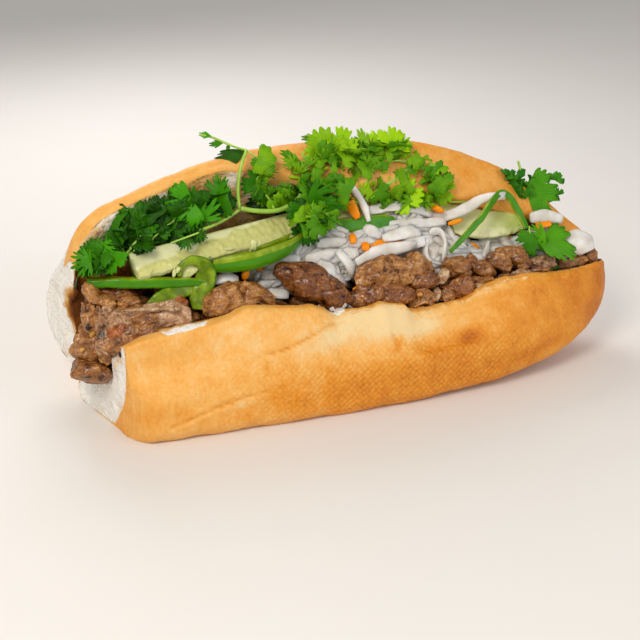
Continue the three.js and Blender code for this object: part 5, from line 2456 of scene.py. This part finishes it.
    stems: tuple[Stem, ...] = (
        Stem(((121, 247, 35), (127, 254, 34), (135, 250, 34)), 0.9),
        Stem(((124, 256, 33), (134, 244, 34), (144, 231, 36)), 1.1),
        Stem(((145, 248, 34), (162, 229, 37), (179, 218, 39)), 1.0),
        Stem(((171, 243, 28.6), (199, 232.6, 31)), 0.8),
        Stem(((199, 231, 36), (222, 221, 39), (239, 210, 42)), 1.5),
        Stem(((239, 208, 42), (258, 211, 41), (281, 209.5, 40), (298, 199, 41), (301, 194.5, 42)), 2.1),
        Stem(((239.5, 208, 41), (238, 189, 42.5), (241, 166, 44.5), (246.5, 150, 48)), 1.4),
        Stem(((246.5, 150, 48), (237, 147.5, 52), (223, 142, 56), (211, 137, 56), (200, 134.6, 56)), 1.0),
        Stem(((247, 151, 48), (259, 160, 47), (261, 172, 46), (257, 179, 46)), 0.8),
        Stem(((302, 197, 41), (319, 209.5, 36)), 1.0),
        Stem(((259, 188, 47), (270, 200, 44), (274, 209, 41)), 1.0),
        Stem(((327, 142, 52), (344, 144, 51), (356, 151, 50), (374, 160, 49), (386, 170, 47),
            (390.5, 181, 45)), 1.2),
        Stem(((366, 200, 41), (379, 190.5, 43), (391, 181.5, 45), (406, 170.5, 47), (414, 164, 48)), 2.4),
        Stem(((383, 165, 48), (396, 160.6, 48), (413, 164, 48)), 0.9),
        Stem(((414, 164, 48), (428, 168, 48)), 0.8),
        Stem(((430, 200, 43), (454, 194.5, 46), (472, 189, 48), (499, 177.5, 51)), 1.1),
        Stem(((450, 202, 43), (467, 202, 44)), 0.8),
        Stem(((518, 161, 54), (520, 168, 53), (521.5, 175, 52)), 1.1),
        Stem(((529, 226, 33), (530.5, 240, 30)), 1.0),
        Stem(((500, 178, 51), (516, 186, 50), (535, 192, 49)), 1.0),
    )

    def build(self) -> None:
        """Models and dresses the leaves and the stems."""
        self.shown = {kind: self.template(kind.value, *self.steps_shown) for kind in LeafKind}
        self.filling = {kind: self.template(kind.value, *self.steps_filling) for kind in LeafKind}
        # The left leaves and the sprig take the dark tone as painted shade, the middle ones the bright tone
        # as painted light.
        self.piece("left", LeafTone.DARK, self.left, 0.3, 8.0, "coriander_left")
        self.piece("sprig", LeafTone.DARK, self.sprig, 0.0, 8.0)
        self.piece("middle", LeafTone.BRIGHT, self.middle, 0.06, 8.0, "coriander_middle")
        self.piece("right", LeafTone.DEEP, self.right, 0.0, 4.6, "coriander_right", "coriander_leaf_front")
        stalk = rod(self.stem_sides, self.stem_levels)
        batch = Batch()
        for stem in self.stems:
            path = spline(np.array([VIEW.at_depth(*point) for point in stem.route]), self.stem_levels)
            batch.add(stalk, swept(stalk, path, (0.1, 0.3, 0.9), stem.width, stem.width))
        dress(batch.build("coriander_stems"), [self.stem.build()], "coriander")

    def template(self, cut: LeafCut, steps: int, rows: int) -> Shape:
        """A flat leaf, one unit long, with its stalk's end at the origin.

        Args:
            cut: its outline.
            steps: how finely its edge is divided.
            rows: how finely it is divided from the stalk to the edge.

        Returns:
            The leaf, which points along Y and faces Z.
        """
        grid = {"x_subdivisions": steps, "y_subdivisions": rows, "size": 2}
        leaf = primitive(bpy.ops.mesh.primitive_grid_add, **grid)
        flat = read_points(leaf)
        t, v = flat[:, 0], (flat[:, 1] + 1) / 2
        smooth = 1 - cut.narrow * t**2
        reach = (0.88 * smooth * (1 - v**2) + cut.reach(t) * v**2) * v
        angle = math.radians(cut.half_angle) * t
        write_points(leaf, np.stack([reach * np.sin(angle), reach * np.cos(angle), 0 * t], -1))
        edit(leaf, (bpy.ops.mesh.remove_doubles, {"threshold": 1e-4}))
        modify(leaf, "SOLIDIFY", thickness=self.thickness, offset=0.0)
        return Shape.taken_from(leaf)

    def add_leaf(self, batch: Batch, shape: Shape, kind: LeafKind, base: Points, axis: Points,
                 face: Points, size: float, tint: float) -> None:
        """Adds one leaf, cupped and rippled in its own way.

        Args:
            batch: where to add it.
            shape: the flat leaf.
            kind: what kind that is.
            base: its stalk's end, in mm.
            axis: the way that it points.
            face: the way that it faces.
            size: its length in mm.
            tint: how light it is, 0 to 1, as painted light and shade.
        """
        x, y, z = shape.points.T
        angle, reach = np.arctan2(x, y), np.hypot(x, y)
        cup = self.rng.normal(0.04, 0.1)
        arch = self.rng.normal(-0.12, 0.12)
        fold = self.rng.normal(0.06, 0.08)
        phase = self.rng.uniform(0, 6.28)
        wave = self.rng.uniform(0.02, 0.06)
        z = z + cup * x**2 + arch * y**2 + fold * np.abs(x) + wave * reach**2 * np.sin(3.2 * angle + phase)
        axis = unit(axis)
        across = unit(np.cross(axis, face))
        normal = np.cross(across, axis)
        points = base + size * (x[:, None] * across + y[:, None] * axis + z[:, None] * normal)
        batch.add(shape, points, angle=angle / math.radians(kind.value.half_angle), reach=reach, tint=tint)

    def piece(self, name: str, tone: LeafTone, leaves: tuple[Leaf, ...], front: float, longest: float,
              *nodes: str) -> None:
        """Models and dresses one group of leaves: those that show, and more all over its solid.

        Args:
            name: the group's name.
            tone: its colours.
            leaves: the leaves that show.
            front: the share of the others that lies on the side towards the camera.
            longest: the length of the longest of those in mm.
            *nodes: the solids that it stands for, first the one that carries the others.
        """
        batch = Batch()
        for leaf in leaves:
            tip, turn = np.radians(self.rng.normal(0, self.lean_deg / 2, 2))
            axis = unit(VIEW.turned(leaf.heading) * math.cos(tip) - VIEW.ahead * math.sin(tip))
            side = unit(np.cross(axis, -VIEW.ahead))
            face = unit(np.cross(side, axis) * math.cos(turn) + side * math.sin(turn) + VIEW.up * leaf.lean)
            base = VIEW.at_depth(leaf.px, leaf.py, leaf.depth) - axis * leaf.size * 0.5
            self.add_leaf(batch, self.shown[leaf.kind], leaf.kind, base, axis, face, leaf.size, leaf.tint)
        for node in nodes[:1]:
            self.add_fill(batch, node, front, longest)
        leaves_built = batch.build(f"coriander_{name}_leaves", outwards=False)
        dress(leaves_built, [LeafFinish(tone).build()], "coriander", *nodes)

    def add_fill(self, batch: Batch, node: str, front: float, longest: float) -> None:
        """Adds smaller, darker leaves all over a solid, so that the sprig is full from every side;
        their darkness is painted shade deep in the bunch.

        Args:
            batch: where to add them.
            node: the solid.
            front: the share of them that lies on the side towards the camera.
            longest: the length of the longest in mm.
        """
        ground = Ground(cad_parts[node])
        area = np.linalg.norm(ground.crosses, axis=-1).sum() / 2
        places, normals = ground.scattered(
            int(area / self.fill_area), self.rng,
            lambda _, out: (out @ VIEW.ahead > -0.15) | (self.rng.random(len(out)) < front))
        for place, normal in zip(places, normals):
            size = longest * self.rng.uniform(*self.fill_lengths)
            kind = list(LeafKind)[int(self.rng.choice(5, p=self.fill_kinds))]
            spread = np.cross(normal, self.rng.normal(0, 1, 3))
            axis = unit(spread + normal * self.rng.uniform(-0.1, 0.5) + [0, 0, 0.25])
            face = unit(normal + self.rng.normal(0, 0.35, 3))
            base = place - normal * size * 0.7 - axis * size * 0.4
            # Darker than most leaves that show: painted shade deep in the bunch.
            tint = self.rng.uniform(0, 0.4)
            self.add_leaf(batch, self.filling[kind], kind, base, axis, face, size, tint)


# ---- Small things on top ------------------------------------------------------------------


@dataclass(frozen=True)
class Bit:
    """A small thing that shows.

    Attributes:
        px, py: its place in the camera's view.
        length, width, thickness: its sizes in mm.
        turn: its turn in the view, in degrees.
        depth: its depth in mm, where it doesn't lie on what shows there.
    """

    px: float
    py: float
    length: float
    width: float
    thickness: float
    turn: float = 0.0
    depth: float | None = None


@dataclass
class Toppings:
    """Seeds, nuts, pith, crumbs and crust flakes, laid on what shows at their places."""

    rng: np.random.Generator = field(default_factory=lambda: np.random.default_rng(7))
    # What each kind is made of, how far it is from smooth ovals, and where it lies.
    kinds: tuple[tuple[PlainFinish, float, tuple[Bit, ...]], ...] = (
        (PlainFinish("black_sesame", "0E0D0B", "26231E", 0.35), 0.05, (
            Bit(120.5, 354.5, 3.0, 1.9, 1.0, 50), Bit(88, 327, 3.0, 1.9, 1.1, 80),
            Bit(322, 275, 1.4, 1.0, 0.6))),
        (PlainFinish("roasted_peanut", "B98434", "D6A24C", 0.45, 1.5), 0.3, (
            Bit(82, 350, 2.0, 1.6, 1.2, 20), Bit(92.5, 334, 2.4, 1.8, 1.4, 60),
            Bit(420, 294.5, 2.6, 1.5, 1.0, 10), Bit(120, 304, 2.2, 1.3, 0.8, 0))),
        (PlainFinish("chilli_pith_and_seed", "C6C878", "DFE0A6", 0.3, 1.5, 0.3), 0.35, (
            Bit(189, 270, 7.5, 5.0, 2.4, 30, 28.5), Bit(174, 274, 3.4, 1.8, 1.2, 80, 26),
            Bit(253, 245.5, 3.4, 6.0, 3.0, 0, 25), Bit(178, 270, 2.6, 1.6, 1.0, 60, 26),
            Bit(230, 249, 4.0, 1.6, 1.0, 10))),
        (PlainFinish("loose_bread_crumb", "C8BFB0", "EAE4DA", 0.9, 1.0), 0.8, (
            Bit(338, 309.5, 3.8, 2.4, 1.0, 0), Bit(344.5, 306, 3.2, 2.0, 1.0, 25),
            Bit(349, 307, 2.2, 1.5, 0.8, 0), Bit(332, 309.5, 2.0, 1.5, 0.8, 40))),
        (PlainFinish("loose_crust_flake", "E8A850", "F6D69A", 0.7, 1.0), 0.8, (
            Bit(463, 302, 2.4, 1.3, 0.6, 20), Bit(470, 298.5, 3.0, 1.5, 0.7, 35),
            Bit(477, 294, 2.2, 1.4, 0.6, 60), Bit(486, 289, 3.2, 1.4, 0.6, 25),
            Bit(495, 285, 2.4, 1.2, 0.6, 10), Bit(504, 281.5, 2.8, 1.3, 0.6, 30),
            Bit(514, 279.5, 2.0, 1.2, 0.5, 5), Bit(524, 278, 2.4, 1.1, 0.5, 15),
            Bit(490, 291.5, 1.8, 1.1, 0.5, 80), Bit(356, 312, 2.6, 1.2, 0.5, 20),
            Bit(369, 309.5, 2.2, 1.1, 0.5, 30), Bit(398, 307.5, 2.4, 1.2, 0.5, 350))),
    )

    def build(self) -> None:
        """Models and dresses the small things."""
        self.ball = ball(4, 0.5)
        pieces = [obj for obj in bpy.context.scene.objects if obj.type == "MESH"]
        self.ground = Ground(*[obj for obj in pieces if obj.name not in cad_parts])
        for finish, uneven, bits in self.kinds:
            batch = Batch()
            for bit in bits:
                self.add_bit(batch, bit, uneven)
            dress(batch.build(finish.name), [finish.build()], None)
        self.scrap()

    def add_bit(self, batch: Batch, bit: Bit, uneven: float) -> None:
        """Adds one small thing.

        Args:
            batch: where to add it.
            bit: the thing.
            uneven: how far it is from a smooth oval.
        """
        if bit.depth is None:
            spot, out = VIEW.landing(bit.px, bit.py, self.ground)
        else:
            spot, out = VIEW.at_depth(bit.px, bit.py, bit.depth), -VIEW.ahead
        out = unit(out)
        along = laid(VIEW.turned(bit.turn), out)
        lump = 1 + uneven * noise(self.ball.points, 0.5, int(self.rng.integers(1, 900)), 2)[:, None]
        size = np.array([bit.length, bit.width, bit.thickness])
        points = (self.ball.points * lump * size) @ np.stack([along, np.cross(out, along), out])
        batch.add(self.ball, spot + out * bit.thickness * 0.2 + points)

    def scrap(self) -> None:
        """Models and dresses a torn scrap of bread among the leaves."""
        obj = solid_copy("bread_scrap", "bread_scrap_torn", 0.35, 2)
        points = to_mm(read_points(obj))
        swell(obj, 0.7 * noise(points, 3.0, 15) + 0.3 * noise(points, 1.0, 16, 2))
        toasted = 0.55 * ease(noise(points, 4.0, 17, 2), 0.0, 0.6)
        marks = {"crust": toasted, "bake": toasted, "net": 0 * toasted, "stain": 0 * toasted + 0.42}
        for name, values in marks.items():
            mark(obj, name, values)
        dress(obj, [bpy.data.materials["baked_wheat_bread"]], "bread_crumb", "bread_scrap")


# ---- The stage and the light ---------------------------------------------------------------


@dataclass(frozen=True)
class Lamp:
    """A square soft light: its place, its target and its side in mm, its watts and its colour."""

    name: str
    at: Place
    towards: Place
    side: float
    power: float
    colour: str

    def build(self) -> None:
        """Hangs the light."""
        light = bpy.data.lights.new(self.name, "AREA")
        light.size = self.side * MM
        light.energy = self.power
        light.color = linear(self.colour)[:3]
        lamp = placed(self.name, light)
        lamp.location = to_metres(self.at)
        aim = Vector(np.subtract(self.towards, self.at))
        lamp.rotation_euler = aim.to_track_quat("-Z", "Y").to_euler()


@dataclass
class Studio:
    """A pale floor, soft light and the camera."""

    floor_m: float = 6.0
    paper: PlainFinish = PlainFinish("pale_matt_paper", "E6E1DB", "E9E5E0", 0.8, 60.0)
    sky_colour: str = "F3F2F0"
    sky_strength: float = 0.5
    lamps: tuple[Lamp, ...] = (
        Lamp("key", (-260, -330, 520), (90, 25, 30), 260, 2.4, "FFF8EE"),
        Lamp("fill", (420, -420, 300), (90, 25, 30), 420, 0.9, "F4F7FF"),
        Lamp("rim", (60, 480, 420), (90, 40, 50), 320, 1.6, "FFFFFF"),
    )

    def build(self) -> None:
        """Sets up the whole studio."""
        floor = primitive(bpy.ops.mesh.primitive_plane_add, size=self.floor_m)
        floor.name = "floor"
        floor.data.materials.append(self.paper.build())
        for lamp in self.lamps:
            lamp.build()
        world = bpy.data.worlds.new("sky")
        world.use_nodes = True
        background = world.node_tree.nodes["Background"]
        background.inputs["Color"].default_value = linear(self.sky_colour)
        background.inputs["Strength"].default_value = self.sky_strength
        bpy.context.scene.world = world
        VIEW.build()
        bpy.context.scene.view_settings.view_transform = "Standard"


# ---- All together -------------------------------------------------------------------------


def main() -> None:
    """Builds the sandwich and its studio."""
    logging.basicConfig(level=logging.INFO, format="%(message)s")
    Studio().build()
    Roll().build(BreadFinish())
    Pork().build()
    Cucumber().build()
    Chilli().build()
    Pickles().build()
    Coriander().build()
    Toppings().build()


if __name__ == "__main__":
    main()
